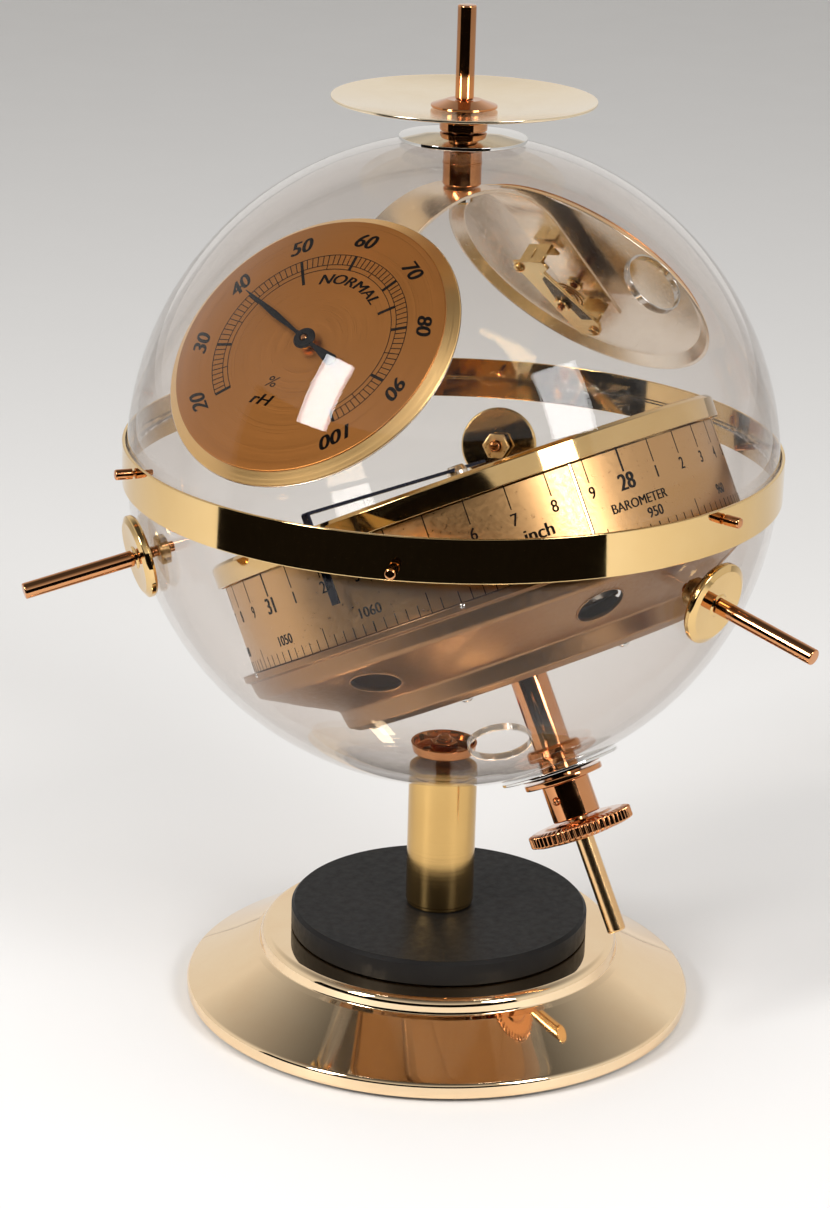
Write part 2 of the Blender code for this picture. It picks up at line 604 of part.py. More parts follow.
def make_barometer():
    bezel = [(ARBOR_R + 0.6, BEZEL_TOP - 1.6), (66.5, BEZEL_TOP - 1.6), (69.2, BEZEL_TOP), (71.6, BEZEL_TOP)]
    bezel += [(BEZEL_R, BEZEL_TOP - 0.9), (BEZEL_R, BEZEL_BOTTOM), (BEZEL_R - 0.8, BEZEL_BOTTOM)]
    bezel += [(BEZEL_R - 0.8, BEZEL_TOP - 2.8), (ARBOR_R + 0.6, BEZEL_TOP - 2.8)]
    turned("barometer_bezel", GOLD, bezel, WIDE, BAROMETER)
    drum = [(DRUM_R - 0.8, BEZEL_BOTTOM - GAP), (DRUM_R, BEZEL_BOTTOM - GAP), (DRUM_R, DRUM_BOTTOM)]
    turned("barometer_scale", SATIN_GOLD, drum + [(DRUM_R - 0.8, DRUM_BOTTOM)], WIDE, BAROMETER)
    top = DRUM_BOTTOM - GAP
    outside = [(DRUM_R - 1, top), (HOUSING_FLANGE_R, top), (HOUSING_FLANGE_R, top - 1.8), (72.6, top - 2.4)]
    outside += [(HOUSING_CORNER_R, HOUSING_CORNER_Z), (HOUSING_PAN_R, HOUSING_PAN_Z)]
    outside += [(HOUSING_PAN_R - 0.8, -60.0), (48.5, HOUSING_BOTTOM), (STEM_R + GAP, HOUSING_BOTTOM)]
    inside = [(STEM_R + GAP, -60.5), (48.0, -60.5), (50.3, -59.5), (51.0, -54.1)]
    inside += [(HOUSING_CORNER_R - 1, -43.6), (71.5, top - 2.8), (DRUM_R - 1, top - 1)]
    housing = turned("barometer_housing", COPPER, outside + inside, WIDE, BAROMETER)
    cone = math.atan2(HOUSING_CORNER_R - HOUSING_PAN_R, HOUSING_CORNER_Z - HOUSING_PAN_Z)
    middle_r = (HOUSING_CORNER_R + HOUSING_PAN_R) / 2
    middle_z = (HOUSING_CORNER_Z + HOUSING_PAN_Z) / 2
    for i in range(HOUSING_HOLES):
        turn = math.radians(HOUSING_HOLE_AZIMUTH + i * 360 / HOUSING_HOLES - 90)
        place = moved(BAROMETER @ Matrix.Rotation(turn, 4, "Z"), x=middle_r, z=middle_z)
        drill(housing, place @ Matrix.Rotation(math.pi / 2 + cone, 4, "Y"), HOUSING_HOLE_R, -4, 4)
    make_movement()
    make_pointer()


def make_stem():
    """The barometer's stem through the globe, its nut, washers and collar, and the knob below."""
    bore = KNOB_ROD_R + GAP
    stem = [(bore, -55.0), (8.0, -55.0), (8.0, -56.4), (STEM_R, -56.4), (STEM_R, -103.5), (bore, -103.5)]
    turned("barometer_stem", COPPER, stem, SMALL, BAROMETER)
    nut = [(STEM_R + GAP, -82.7), (6.9, -82.7), (7.6, -83.4), (7.6, -85.9), (STEM_R + GAP, -86.0)]
    turned("stem_nut", COPPER, nut, SMALL, BAROMETER)
    washer = [(STEM_R + GAP, -90.0), (10.0, -89.8), (16.7, -88.7), (16.7, -89.5), (10.0, -90.6)]
    washer += [(STEM_R + GAP, -90.9)]
    turned("stem_washer", CHROME, washer, MIDDLE, BAROMETER)
    lock = [(STEM_R + GAP, -91.2), (11.1, -91.2), (11.1, -92.8), (STEM_R + GAP, -92.8)]
    turned("stem_lock_washer", COPPER, lock, MIDDLE, BAROMETER)
    collar = [(STEM_R + GAP, -93.1), (COLLAR_R, -93.1), (COLLAR_R, -103.5), (STEM_R + GAP, -103.5)]
    turned("stem_collar", COPPER, collar, SMALL, BAROMETER)
    ribs = []
    for i in range(KNOB_RIBS * 2):
        turn = math.pi * i / KNOB_RIBS
        radius = KNOB_R if i % 2 == 0 else KNOB_R - 0.5
        ribs.append((radius * math.cos(turn), radius * math.sin(turn)))
    hole = ring(KNOB_ROD_R + GAP, TINY)
    outline("calibration_knob", GOLD, [ribs, hole], KNOB_BOTTOM, KNOB_TOP, BAROMETER)
    rod = [(0, -57.0), (KNOB_ROD_R, -57.0), (KNOB_ROD_R, KNOB_ROD_END), (0, KNOB_ROD_END)]
    turned("calibration_rod", COPPER, rod, TINY, BAROMETER)


make_foot()
make_post()
make_globe()
make_antennas()
make_top()
make_hanger()
make_dial("hygrometer", BRONZE)
make_dial("thermometer", STEEL)
make_barometer()
make_stem()
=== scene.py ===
import json
import math

import bmesh
import bpy
from mathutils import Matrix, Vector


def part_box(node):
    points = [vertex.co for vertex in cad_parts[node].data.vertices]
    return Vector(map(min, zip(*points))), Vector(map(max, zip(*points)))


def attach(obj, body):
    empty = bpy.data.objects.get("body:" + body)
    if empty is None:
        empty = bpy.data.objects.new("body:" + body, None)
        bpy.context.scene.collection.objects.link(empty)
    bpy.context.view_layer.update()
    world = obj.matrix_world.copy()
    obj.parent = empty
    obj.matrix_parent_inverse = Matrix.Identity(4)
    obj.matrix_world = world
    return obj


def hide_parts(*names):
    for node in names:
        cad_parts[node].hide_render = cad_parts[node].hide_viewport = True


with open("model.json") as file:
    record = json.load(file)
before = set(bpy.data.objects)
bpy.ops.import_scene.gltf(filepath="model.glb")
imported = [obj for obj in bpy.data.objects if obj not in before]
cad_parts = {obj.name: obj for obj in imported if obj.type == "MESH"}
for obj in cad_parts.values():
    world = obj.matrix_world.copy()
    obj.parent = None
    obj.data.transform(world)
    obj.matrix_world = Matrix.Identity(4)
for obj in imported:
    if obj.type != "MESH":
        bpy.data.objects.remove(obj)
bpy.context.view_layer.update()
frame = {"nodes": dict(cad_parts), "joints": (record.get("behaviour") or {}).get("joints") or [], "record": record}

# The looks of the clear-globe desk weather station. Lengths are in millimetres unless a comment says
# otherwise. The globe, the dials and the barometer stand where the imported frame's joints and nodes say.

MM = 0.001  # in metres
WELD = 0.000001  # in metres

# Steps round a turned piece, by its size
VAST = 256
WIDE = 160
MIDDLE = 96
SMALL = 64
TINY = 40

JOINTS = {joint["name"]: joint for joint in frame["joints"]}
BODIES = frame["record"]["behaviour"]["bodies"]
BODY_OF = {node: body for body, nodes in BODIES.items() for node in nodes}
SIDES = ("front", "right", "left")
BAND_SCREWS = range(1, 7)


# Places

def looking(origin, axis, towards=(0, 0, 1)):
    """A frame at origin, in metres, with its Z along axis and its Y as near to towards as it can be."""
    z = Vector(axis).normalized()
    x = Vector(towards).cross(z).normalized()
    return Matrix.Translation(Vector(origin)) @ Matrix((x, z.cross(x), z)).transposed().to_4x4()


def joint_frame(name, towards=(0, 0, 1)):
    return looking(JOINTS[name]["pos_m"], JOINTS[name]["axis"], towards)


def middle(node):
    low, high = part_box(node)
    return (low + high) / 2


def moved(base, x=0.0, y=0.0, z=0.0):
    return base @ Matrix.Translation(Vector((x, y, z)) * MM)


def turned_by(base, degrees, axis="Z"):
    return base @ Matrix.Rotation(math.radians(degrees), 4, axis)


UPRIGHT = Matrix.Identity(4)
CENTRE = Vector(JOINTS["barometer_hand"]["pos_m"])
GLOBE = Matrix.Translation(CENTRE)
BAROMETER = joint_frame("barometer_hand", (0, 1, 0))
DIALS = {name: joint_frame(name + "_hand") for name in ("hygrometer", "thermometer")}


def antenna_frame(side):
    return looking(CENTRE, middle(f"antenna_rod_{side}") - CENTRE)


def band_screw_frame(node):
    place = middle(node)
    height = Vector((0, 0, place.z))
    return looking(height, place - height)


def direction(azimuth, latitude):
    """A unit vector: azimuth from the front towards +X, latitude above the horizon."""
    a, b = math.radians(azimuth), math.radians(latitude)
    return Vector((math.sin(a) * math.cos(b), -math.cos(a) * math.cos(b), math.sin(b)))


# Shapes

STRAIGHT_ON = 172  # a corner this flat, in degrees, is left as it is
EDGE_SHARE = 0.45  # the most of an edge that one rounded corner takes
CORNER_STEPS = (0, 0.25, 0.5, 0.75, 1)


def arc(centre_r, centre_z, radius, start, end, steps):
    """Points of a profile's round stretch, from start to end degrees, 0 outwards and 90 up."""
    turns = [math.radians(start + (end - start) * i / steps) for i in range(steps + 1)]
    return [(centre_r + radius * math.cos(t), centre_z + radius * math.sin(t), 0) for t in turns]


def rounded(points, fillet, closed):
    """The points with their corners rounded, by fillet or by a point's own third number."""
    made = []
    last = len(points) - 1
    for i, point in enumerate(points):
        here = Vector(point[:2])
        radius = point[2] if len(point) > 2 else fillet
        back = Vector(points[i - 1][:2]) - here
        ahead = Vector(points[(i + 1) % len(points)][:2]) - here
        at_end = not closed and i in (0, last)
        if radius == 0 or at_end or back.angle(ahead) > math.radians(STRAIGHT_ON):
            made.append(here)
            continue
        shorter = min(back.length, ahead.length)
        reach = min(radius / math.tan(back.angle(ahead) / 2), EDGE_SHARE * shorter)
        start = here + back.normalized() * reach
        end = here + ahead.normalized() * reach
        for t in CORNER_STEPS:
            made.append(start * (1 - t) ** 2 + here * 2 * t * (1 - t) + end * t * t)
    return made


def lathe(profile, place=UPRIGHT, steps=WIDE, fillet=0.3, ribs=None):
    """A profile of (radius, height) turned round Z. Its UVs run once round it and along it in millimetres.
    ribs is (how many, how deep, lowest radius): from that radius outwards the surface is ribbed."""
    on_axis = profile[0][0] == 0
    line = rounded(profile, fillet, closed=not on_axis)
    made = bmesh.new()
    layer = made.loops.layers.uv.new("UVMap")
    rows = []
    along = [0.0]
    for i, point in enumerate(line):
        if i:
            along.append(along[-1] + (point - line[i - 1]).length)
        if point.x < 0.0001:
            rows.append([made.verts.new((0, 0, point.y * MM))] * steps)
            continue
        row = []
        for j in range(steps):
            turn = 2 * math.pi * j / steps
            radius = point.x
            if ribs and radius > ribs[2]:
                radius -= ribs[1] * abs(math.sin(ribs[0] * turn / 2)) ** 2
            x, y = radius * math.cos(turn), radius * math.sin(turn)
            row.append(made.verts.new((x * MM, y * MM, point.y * MM)))
        rows.append(row)
    if not on_axis:
        rows.append(rows[0])
        along.append(along[-1] + (line[0] - line[-1]).length)
    for i in range(len(rows) - 1):
        for j in range(steps):
            k = (j + 1) % steps
            corners = [(rows[i][j], j, i), (rows[i + 1][j], j, i + 1)]
            corners += [(rows[i + 1][k], j + 1, i + 1), (rows[i][k], j + 1, i)]
            seen = []
            for corner in corners:
                if corner[0] not in [c[0] for c in seen]:
                    seen.append(corner)
            if len(seen) < 3:
                continue
            face = made.faces.new([c[0] for c in seen])
            for loop, (_, step, row) in zip(face.loops, seen):
                loop[layer].uv = (step / steps, along[row])
    bmesh.ops.recalc_face_normals(made, faces=made.faces)
    return as_mesh(made, place)


def as_mesh(made, place=UPRIGHT):
    made.transform(place)
    mesh = bpy.data.meshes.new("solid")
    made.to_mesh(mesh)
    made.free()
    return mesh


def linked(name, data):
    """A new object in the scene."""
    made = bpy.data.objects.new(name, data)
    bpy.context.scene.collection.objects.link(made)
    return made


def curve_mesh(curve, place):
    """The curve's solid with its caps welded on."""
    helper = linked("helper", curve)
    bpy.context.view_layer.update()
    mesh = bpy.data.meshes.new_from_object(helper.evaluated_get(bpy.context.evaluated_depsgraph_get()))
    bpy.data.objects.remove(helper)
    made = bmesh.new()
    made.from_mesh(mesh)
    bmesh.ops.remove_doubles(made, verts=made.verts, dist=WELD)
    bmesh.ops.recalc_face_normals(made, faces=made.faces)
    return as_mesh(made, place)


def plate(loops, bottom, top, place=UPRIGHT, bevel=0.15):
    """A flat outline from bottom to top, its edges rounded. Loops after the first are holes."""
    curve = bpy.data.curves.new("outline", "CURVE")
    curve.dimensions = "2D"
    curve.fill_mode = "BOTH"
    curve.extrude = ((top - bottom) / 2 - bevel) * MM
    curve.bevel_depth = bevel * MM
    curve.bevel_resolution = 2
    curve.offset = -bevel * MM
    for loop in loops:
        spline = curve.splines.new("POLY")
        spline.points.add(len(loop) - 1)
        for point, place_of in zip(spline.points, loop):
            point.co = (place_of[0] * MM, place_of[1] * MM, 0, 1)
        spline.use_cyclic_u = True
    return curve_mesh(curve, moved(place, z=(top + bottom) / 2))


def wire(points, radius, place=UPRIGHT):
    curve = bpy.data.curves.new("wire", "CURVE")
    curve.dimensions = "3D"
    curve.bevel_depth = radius * MM
    curve.bevel_resolution = 3
    curve.use_fill_caps = True
    spline = curve.splines.new("POLY")
    spline.points.add(len(points) - 1)
    for point, place_of in zip(spline.points, points):
        point.co = (*(c * MM for c in place_of), 1)
    return curve_mesh(curve, place)


def ring(radius, sides, start=0.0):
    turns = [math.radians(start + 360 * i / sides) for i in range(sides)]
    return [(radius * math.cos(t), radius * math.sin(t)) for t in turns]


def screw_head(place, radius, height, slot=True):
    """A domed screw head standing on the place's XY plane, with a slot across it."""
    dome = [(0, height), (radius * 0.55, height * 0.93), (radius * 0.9, height * 0.5)]
    head = lathe(dome + [(radius, 0), (0, 0)], place, TINY, 0.4 * height)
    if slot:
        x, y = radius * 2, 0.13
        bar = [(-x, -y), (x, -y), (x, y), (-x, y)]
        cut(head, plate([bar], height * 0.55, height * 2, place, 0.01))
    return head


def cut(mesh, *cutters):
    """Takes the cutters out of the mesh, in place."""
    helper = linked("cut", mesh)
    others = [linked("cutter", cutter) for cutter in cutters]
    for other in others:
        made = helper.modifiers.new("cut", "BOOLEAN")
        made.solver = "EXACT"
        made.object = other
    bpy.context.view_layer.update()
    done = bpy.data.meshes.new_from_object(helper.evaluated_get(bpy.context.evaluated_depsgraph_get()))
    made = bmesh.new()
    made.from_mesh(done)
    made.to_mesh(mesh)
    made.free()
    for helper in [helper, *others]:
        bpy.data.objects.remove(helper)


# Materials

class Finish:
    """A material being made: a Principled shader and the nodes that vary it."""

    def __init__(self, name, colour, metallic, roughness):
        self.made = bpy.data.materials.new(name)
        self.made.use_nodes = True
        self.tree = self.made.node_tree
        self.shader = self.tree.nodes["Principled BSDF"]
        self.shader.inputs["Metallic"].default_value = metallic
        self.shader.inputs["Roughness"].default_value = roughness
        self.shader.inputs["Base Color"].default_value = (*colour, 1)
        self.colour = colour

    def node(self, kind, **values):
        """A new node, with its inputs and settings given by name."""
        made = self.tree.nodes.new(kind)
        for key, value in values.items():
            if key in made.inputs:
                made.inputs[key].default_value = value
            else:
                setattr(made, key, value)
        return made

    def link(self, start, end):
        self.tree.links.new(start, end)

    def noise(self, scale, stretch=(1, 1, 1), by_uv=False, detail=5.0, rough=0.6):
        """A noise's factor, at a scale in cycles per metre, or per UV unit on a turned piece."""
        coordinates = self.node("ShaderNodeTexCoord")
        mapping = self.node("ShaderNodeMapping")
        mapping.inputs["Scale"].default_value = stretch
        self.link(coordinates.outputs["UV" if by_uv else "Object"], mapping.inputs["Vector"])
        noise = self.node("ShaderNodeTexNoise", Scale=scale, Detail=detail, Roughness=rough)
        self.link(mapping.outputs["Vector"], noise.inputs["Vector"])
        return noise.outputs["Fac"]

    def ranged(self, value, low, high, from_low=0.3, from_high=0.7):
        limits = {"From Min": from_low, "From Max": from_high, "To Min": low, "To Max": high}
        made = self.node("ShaderNodeMapRange", **limits)
        self.link(value, made.inputs["Value"])
        return made.outputs["Result"]

    def vary_roughness(self, value, low, high):
        self.link(self.ranged(value, low, high), self.shader.inputs["Roughness"])

    def blend(self, factor, first, second):
        mix = self.node("ShaderNodeMix", data_type="RGBA")
        mix.inputs["A"].default_value = (*first, 1)
        mix.inputs["B"].default_value = (*second, 1)
        self.link(factor, mix.inputs["Factor"])
        return mix.outputs["Result"]

    def vary_colour(self, value, other):
        mixed = self.blend(self.ranged(value, 0, 1), self.colour, other)
        self.link(mixed, self.shader.inputs["Base Color"])

    def bump(self, value, strength, depth):
        """Bumps of so many millimetres."""
        made = self.node("ShaderNodeBump", Strength=strength, Distance=depth * MM)
        self.link(value, made.inputs["Height"])
        self.link(made.outputs["Normal"], self.shader.inputs["Normal"])


def polished(name, colour, tarnish, roughness=0.05):
    """Plated and polished metal: faint clouds of tarnish and very fine polishing marks."""
    finish = Finish(name, colour, 1.0, roughness)
    finish.vary_colour(finish.noise(28), tarnish)
    finish.vary_roughness(finish.noise(160), roughness * 0.6, roughness * 1.7)
    finish.bump(finish.noise(1400, detail=3), 0.05, 0.02)
    return finish.made


def satin(name, colour, tarnish, roughness=0.32, grain=2600, relief=0.25):
    """Matt plated metal with an even fine grain."""
    finish = Finish(name, colour, 1.0, roughness)
    finish.vary_colour(finish.noise(45), tarnish)
    finish.vary_roughness(finish.noise(900), roughness * 0.8, roughness * 1.25)
    finish.bump(finish.noise(grain, detail=2), relief, 0.03)
    return finish.made


def lathed(name, colour, tarnish, roughness=0.28, lines=9.0):
    """Metal with the fine rings that turning or spinning leaves."""
    finish = Finish(name, colour, 1.0, roughness)
    rings = finish.noise(lines, (0.35, 1, 1), by_uv=True, detail=4)
    finish.vary_colour(finish.noise(40), tarnish)
    finish.vary_roughness(rings, roughness * 0.75, roughness * 1.3)
    finish.bump(rings, 0.05, 0.03)
    return finish.made


def painted(name, colour, other, roughness=0.42, grain=1500, strength=0.2, shine=0.3):
    finish = Finish(name, colour, 0.0, roughness)
    finish.shader.inputs["Specular IOR Level"].default_value = shine
    finish.vary_colour(finish.noise(60), other)
    finish.vary_roughness(finish.noise(400), roughness * 0.8, roughness * 1.25)
    finish.bump(finish.noise(grain, detail=3), strength, 0.05)
    return finish.made


def clear(name, tint, rim_tint, mirror):
    """Thin clear acrylic: light goes straight through, greyer at a slant, and mirrors more at a slant."""
    finish = Finish(name, (1, 1, 1), 1.0, 0.015)
    finish.vary_roughness(finish.noise(90), 0.004, 0.03)
    finish.bump(finish.noise(14, detail=2), 0.05, 0.3)
    through = finish.node("ShaderNodeBsdfTransparent")
    slant = finish.node("ShaderNodeLayerWeight", Blend=0.3)
    finish.link(finish.blend(slant.outputs["Facing"], tint, rim_tint), through.inputs["Color"])
    facing = finish.node("ShaderNodeLayerWeight", Blend=0.5)
    fifth = finish.node("ShaderNodeMath", operation="POWER")
    fifth.inputs[1].default_value = 5.0
    finish.link(facing.outputs["Facing"], fifth.inputs[0])
    both = finish.node("ShaderNodeMixShader")
    finish.link(finish.ranged(fifth.outputs[0], mirror, 1.0, 0.0, 1.0), both.inputs["Fac"])
    finish.link(through.outputs["BSDF"], both.inputs[1])
    finish.link(finish.shader.outputs["BSDF"], both.inputs[2])
    finish.link(both.outputs["Shader"], finish.tree.nodes["Material Output"].inputs["Surface"])
    return finish.made


FOOT_GOLD = polished("foot_gold", (0.97, 0.76, 0.50), (0.93, 0.68, 0.42), 0.035)
GOLD = polished("polished_gold", (0.81, 0.58, 0.28), (0.75, 0.51, 0.22), 0.045)
COPPER = polished("polished_copper", (0.68, 0.33, 0.15), (0.60, 0.26, 0.11), 0.07)
DISH_GOLD = lathed("dish_gold", (0.97, 0.83, 0.62), (0.93, 0.76, 0.52), 0.16, 5.0)
POST_GOLD = lathed("post_gold", (0.68, 0.44, 0.165), (0.62, 0.39, 0.14), 0.16, 3.0)
SATIN_GOLD = satin("satin_gold", (0.76, 0.55, 0.27), (0.68, 0.46, 0.20), 0.3)
SCALE_GOLD = satin("scale_gold", (0.62, 0.37, 0.165), (0.60, 0.355, 0.155), 0.33, 3800, 0.02)
HOUSING = satin("housing_copper", (0.36, 0.205, 0.10), (0.32, 0.175, 0.08), 0.36, 1800)
FACE = lathed("dial_face", (0.64, 0.27, 0.075), (0.60, 0.25, 0.066), 0.34, 9.0)
RIM = lathed("dial_rim", (1.0, 0.68, 0.30), (0.98, 0.63, 0.26), 0.36, 2.0)
# Painted shade: a dark sheet that stands for the shade inside the bracket box, seen through the window in its web.
WINDOW_SHADE = satin("bracket_window_shade", (0.12, 0.085, 0.045), (0.08, 0.055, 0.03), 0.25)
BRASS = satin("bracket_brass", (0.80, 0.60, 0.30), (0.72, 0.50, 0.22), 0.2, 2200)
ROD_GOLD = lathed("rod_gold", (0.80, 0.52, 0.26), (0.72, 0.44, 0.20), 0.17, 8.0)
STEEL = satin("satin_steel", (0.88, 0.80, 0.70), (0.80, 0.72, 0.62), 0.22, 1500, 0.03)
STRAP_STEEL = satin("strap_steel", (0.96, 0.84, 0.69), (0.89, 0.76, 0.61), 0.22, 1800, 0.04)
CHROME = polished("chrome", (0.80, 0.79, 0.77), (0.72, 0.71, 0.69), 0.05)
IRON = painted("cast_iron", (0.05, 0.05, 0.05), (0.08, 0.07, 0.06), 0.6, 600, 0.6)
BLACK = painted("plinth_black", (0.010, 0.009, 0.009), (0.014, 0.013, 0.012), 0.4, 1700, 0.1, 0.08)
DARK_SCREEN = painted("dark_screen", (0.004, 0.0035, 0.003), (0.006, 0.005, 0.004), 0.9, 200, 0.0, 0.0)
HAND_BLACK = painted("hand_black", (0.006, 0.006, 0.007), (0.012, 0.012, 0.013), 0.35, 2400, 0.1, 0.1)
BLUED = polished("blued_steel", (0.03, 0.035, 0.06), (0.02, 0.025, 0.05), 0.25)
INK = painted("black_ink", (0.006, 0.005, 0.004), (0.014, 0.010, 0.008), 0.6, 5000, 0.1, 0.03)
FELT = painted("black_felt", (0.02, 0.02, 0.02), (0.04, 0.04, 0.04), 0.95, 900, 1.0)
ACRYLIC = clear("clear_acrylic", (0.966, 0.957, 0.948), (0.88, 0.85, 0.83), 0.014)
CLEAR_EDGE = clear("clear_edge", (0.80, 0.76, 0.70), (0.62, 0.58, 0.52), 0.38)
# The seam is real, where the scale strip's ends overlap; its pale, near-white colour is a painted highlight.
SEAM_HIGHLIGHT = polished("seam_highlight_strip", (0.92, 0.86, 0.74), (0.86, 0.78, 0.64), 0.1)


# Pieces

def show(name, solids, node=None, body=None, smooth=True):
    """One visible piece, of (mesh, material) solids, in place of the CAD node if one is given."""
    whole = bmesh.new()
    materials = []
    for mesh, material in solids:
        if material not in materials:
            materials.append(material)
        first = len(whole.faces)
        whole.from_mesh(mesh)
        whole.faces.ensure_lookup_table()
        for face in whole.faces[first:]:
            face.material_index = materials.index(material)
            face.smooth = smooth
        bpy.data.meshes.remove(mesh)
    made = bpy.data.meshes.new(name)
    whole.to_mesh(made)
    whole.free()
    for material in materials:
        made.materials.append(material)
    piece = linked(name, made)
    if smooth:
        weighted = piece.modifiers.new("even_shading", "WEIGHTED_NORMAL")
        weighted.weight = 60
        weighted.keep_sharp = False
    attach(piece, body or BODY_OF[node])
    if node:
        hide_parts(node)


def spun(name, profile, place, steps, material, node, fillet=0.3):
    """One visible piece that is a single turned profile."""
    show(name, [(lathe(profile, place, steps, fillet), material)], node)


# Lettering and lines

INK_LIFT = 0.05
OVERLAP = 1.02  # how much longer an arc's pieces are than its steps


def straight(radius, turn):
    """On a dial: x along the tangent and y outwards at the radius, turn degrees clockwise from up."""
    t = math.radians(turn)
    return lambda x, y: (radius * math.sin(t) + x * math.cos(t) + y * math.sin(t),
                         radius * math.cos(t) - x * math.sin(t) + y * math.cos(t))


def bent(radius, turn):
    """On a dial: x round the circle and y outwards."""
    def place(x, y):
        t = math.radians(turn) + x / radius
        return ((radius + y) * math.sin(t), (radius + y) * math.cos(t))
    return place


def flat(left, up):
    return lambda x, y: (left + x, up + y)


class Ink:
    """Thin raised print. surface(x, y, lift) is the point, in metres, of a place on the flat."""

    def __init__(self, surface):
        self.surface = surface
        self.made = bmesh.new()

    def words(self, text, size, place, bold=0.0, slope=0.0, wide=1.0):
        curve = bpy.data.curves.new("words", "FONT")
        curve.body = text
        curve.size = size
        curve.align_x = "CENTER"
        curve.align_y = "CENTER"
        curve.shear = slope
        curve.extrude = INK_LIFT
        curve.resolution_u = 4
        mesh = curve_mesh(curve, UPRIGHT)
        flat_points = [vertex.co.copy() for vertex in mesh.vertices]
        for shift in sorted({-bold, 0.0, bold}):
            for vertex, point in zip(mesh.vertices, flat_points):
                x, y = place(point.x * wide + shift, point.y)
                vertex.co = self.surface(x, y, point.z)
            self.made.from_mesh(mesh)
        bpy.data.meshes.remove(mesh)

    def line(self, start, end, width, place):
        """A straight line on the flat, as a thin box."""
        start, end = Vector(start), Vector(end)
        side = (end - start).orthogonal().normalized() * width / 2
        corners = [place(*p) for p in (start + side, start - side, end - side, end + side)]
        low = [self.made.verts.new(self.surface(x, y, -INK_LIFT)) for x, y in corners]
        high = [self.made.verts.new(self.surface(x, y, INK_LIFT)) for x, y in corners]
        self.made.faces.new(low[::-1])
        self.made.faces.new(high)
        for i in range(4):
            k = (i + 1) % 4
            self.made.faces.new((low[i], low[k], high[k], high[i]))

    def circle(self, radius, first, last, width, step=2.0):
        """An arc on a dial, from first to last degrees clockwise from up."""
        count = math.ceil((last - first) / step)
        for i in range(count):
            a = first + (last - first) * i / count
            b = first + (last - first) * (i + 1) / count
            half = math.radians(b - a) / 2 * radius * OVERLAP
            self.line((-half, 0), (half, 0), width, straight(radius, (a + b) / 2))

    def mesh(self):
        bmesh.ops.recalc_face_normals(self.made, faces=self.made.faces)
        return as_mesh(self.made)


# Foot and post

POST_WALL = 1.8


def make_foot():
    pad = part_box("base_pad")[1] / MM
    profile = [(0, pad.z), (pad.x, pad.z), (pad.x, 0), (0, 0)]
    spun("pad_felt", profile, UPRIGHT, WIDE, FELT, "base_pad")
    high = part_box("foot_shell")[1] / MM
    rim, top = high.x, high.z
    outside = [(2.2, top, 0.1)] + arc(48.7, top - 2.4, 2.4, 90, 8, 8)
    outside += [(51.3, 16.9, 0.3), (51.5, 16.1, 0.5), (53.3, 15.4, 0.9), (61.5, 10.6, 0), (69.3, 6.5, 0.8)]
    outside += arc(rim - 1.7, 4.0, 1.7, 62, 0, 5) + arc(rim - 1.7, 2.3, 1.7, 0, -90, 6)
    inside = [(70.0, 1.4, 0.1), (71.0, 2.2, 0.3), (71.0, 4.0, 0.3), (69.4, 5.2), (52.2, 14.7)]
    inside += [(50.2, 15.9), (48.4, top - 0.9), (2.2, top - 0.9, 0.1)]
    profile = outside + inside
    spun("foot_gold_shell", profile, UPRIGHT, VAST, FOOT_GOLD, "foot_shell")
    low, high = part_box("plinth_disc")
    radius, bottom, top = high.x / MM, low.z / MM, high.z / MM
    plinth = [(2.2, top), (radius - 0.9, top, 0.2), (radius, top - 0.9, 0.2), (radius, bottom, 0.4)]
    plinth += [(2.2, bottom)]
    spun("plinth_black_disc", plinth, UPRIGHT, VAST, BLACK, "plinth_disc")


def make_post():
    low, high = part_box("post_tube")
    radius, bottom, top = high.x / MM, low.z / MM, high.z / MM
    inner = radius - POST_WALL
    groove, foot = radius - 0.25, radius - 0.3
    tube = [(inner, top, 0.5), (radius, top, 0.5), (radius, top - 1.4), (groove, top - 1.6)]
    tube += [(groove, top - 2.1), (radius, top - 2.3), (radius, bottom + 1.2), (foot, bottom + 0.9)]
    tube += [(foot, bottom), (2.2, bottom), (2.2, bottom + 3), (inner, bottom + 3)]
    spun("post_gold_tube", tube, UPRIGHT, MIDDLE, POST_GOLD, "post_tube", 0.2)
    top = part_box("tie_rod")[1].z / MM
    rod = [(0, top), (1.3, top, 0.2), (1.9, top - 0.6, 0.2), (1.9, 5.8, 0.1)]
    rod += [(4.4, 5.8), (4.4, 2.3), (0, 2.3)]
    thread = [(1.85 * math.cos(t / 3), 1.85 * math.sin(t / 3), top - 8 + t * 0.08) for t in range(92)]
    solids = [(lathe(rod, steps=TINY), COPPER), (wire(thread, 0.16), COPPER)]
    show("tie_rod_copper", solids, "tie_rod")
    cup = [(9.4, -82.5, 0.2), (8.8, -85.3), (2.2, -86.0), (2.2, -85.3), (8.1, -84.8), (8.7, -82.5, 0.2)]
    spun("cup_washer", cup, GLOBE, MIDDLE, COPPER, "globe_cup_washer")
    nut = plate([ring(3.9, 6), ring(2.2, 24)], -85.0, -82.3, GLOBE, 0.3)
    show("tie_nut", [(nut, COPPER)], "globe_nut")


# Globe

GLOBE_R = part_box("globe_upper")[1].z / MM - CENTRE.z / MM
VENT_R = 8.5
BEAD_WIDTH = 0.45
WALL = 2.0
HALF_SEAM = 0.15
UPPER_VENT = (0.0, 43.4)  # azimuth and latitude
LOWER_VENT = (-38.5, -40.4)
LIP_STEP = 0.4  # in degrees, from the vent's edge to the wall's first ring
NADIR = -90 + 0.001  # in degrees


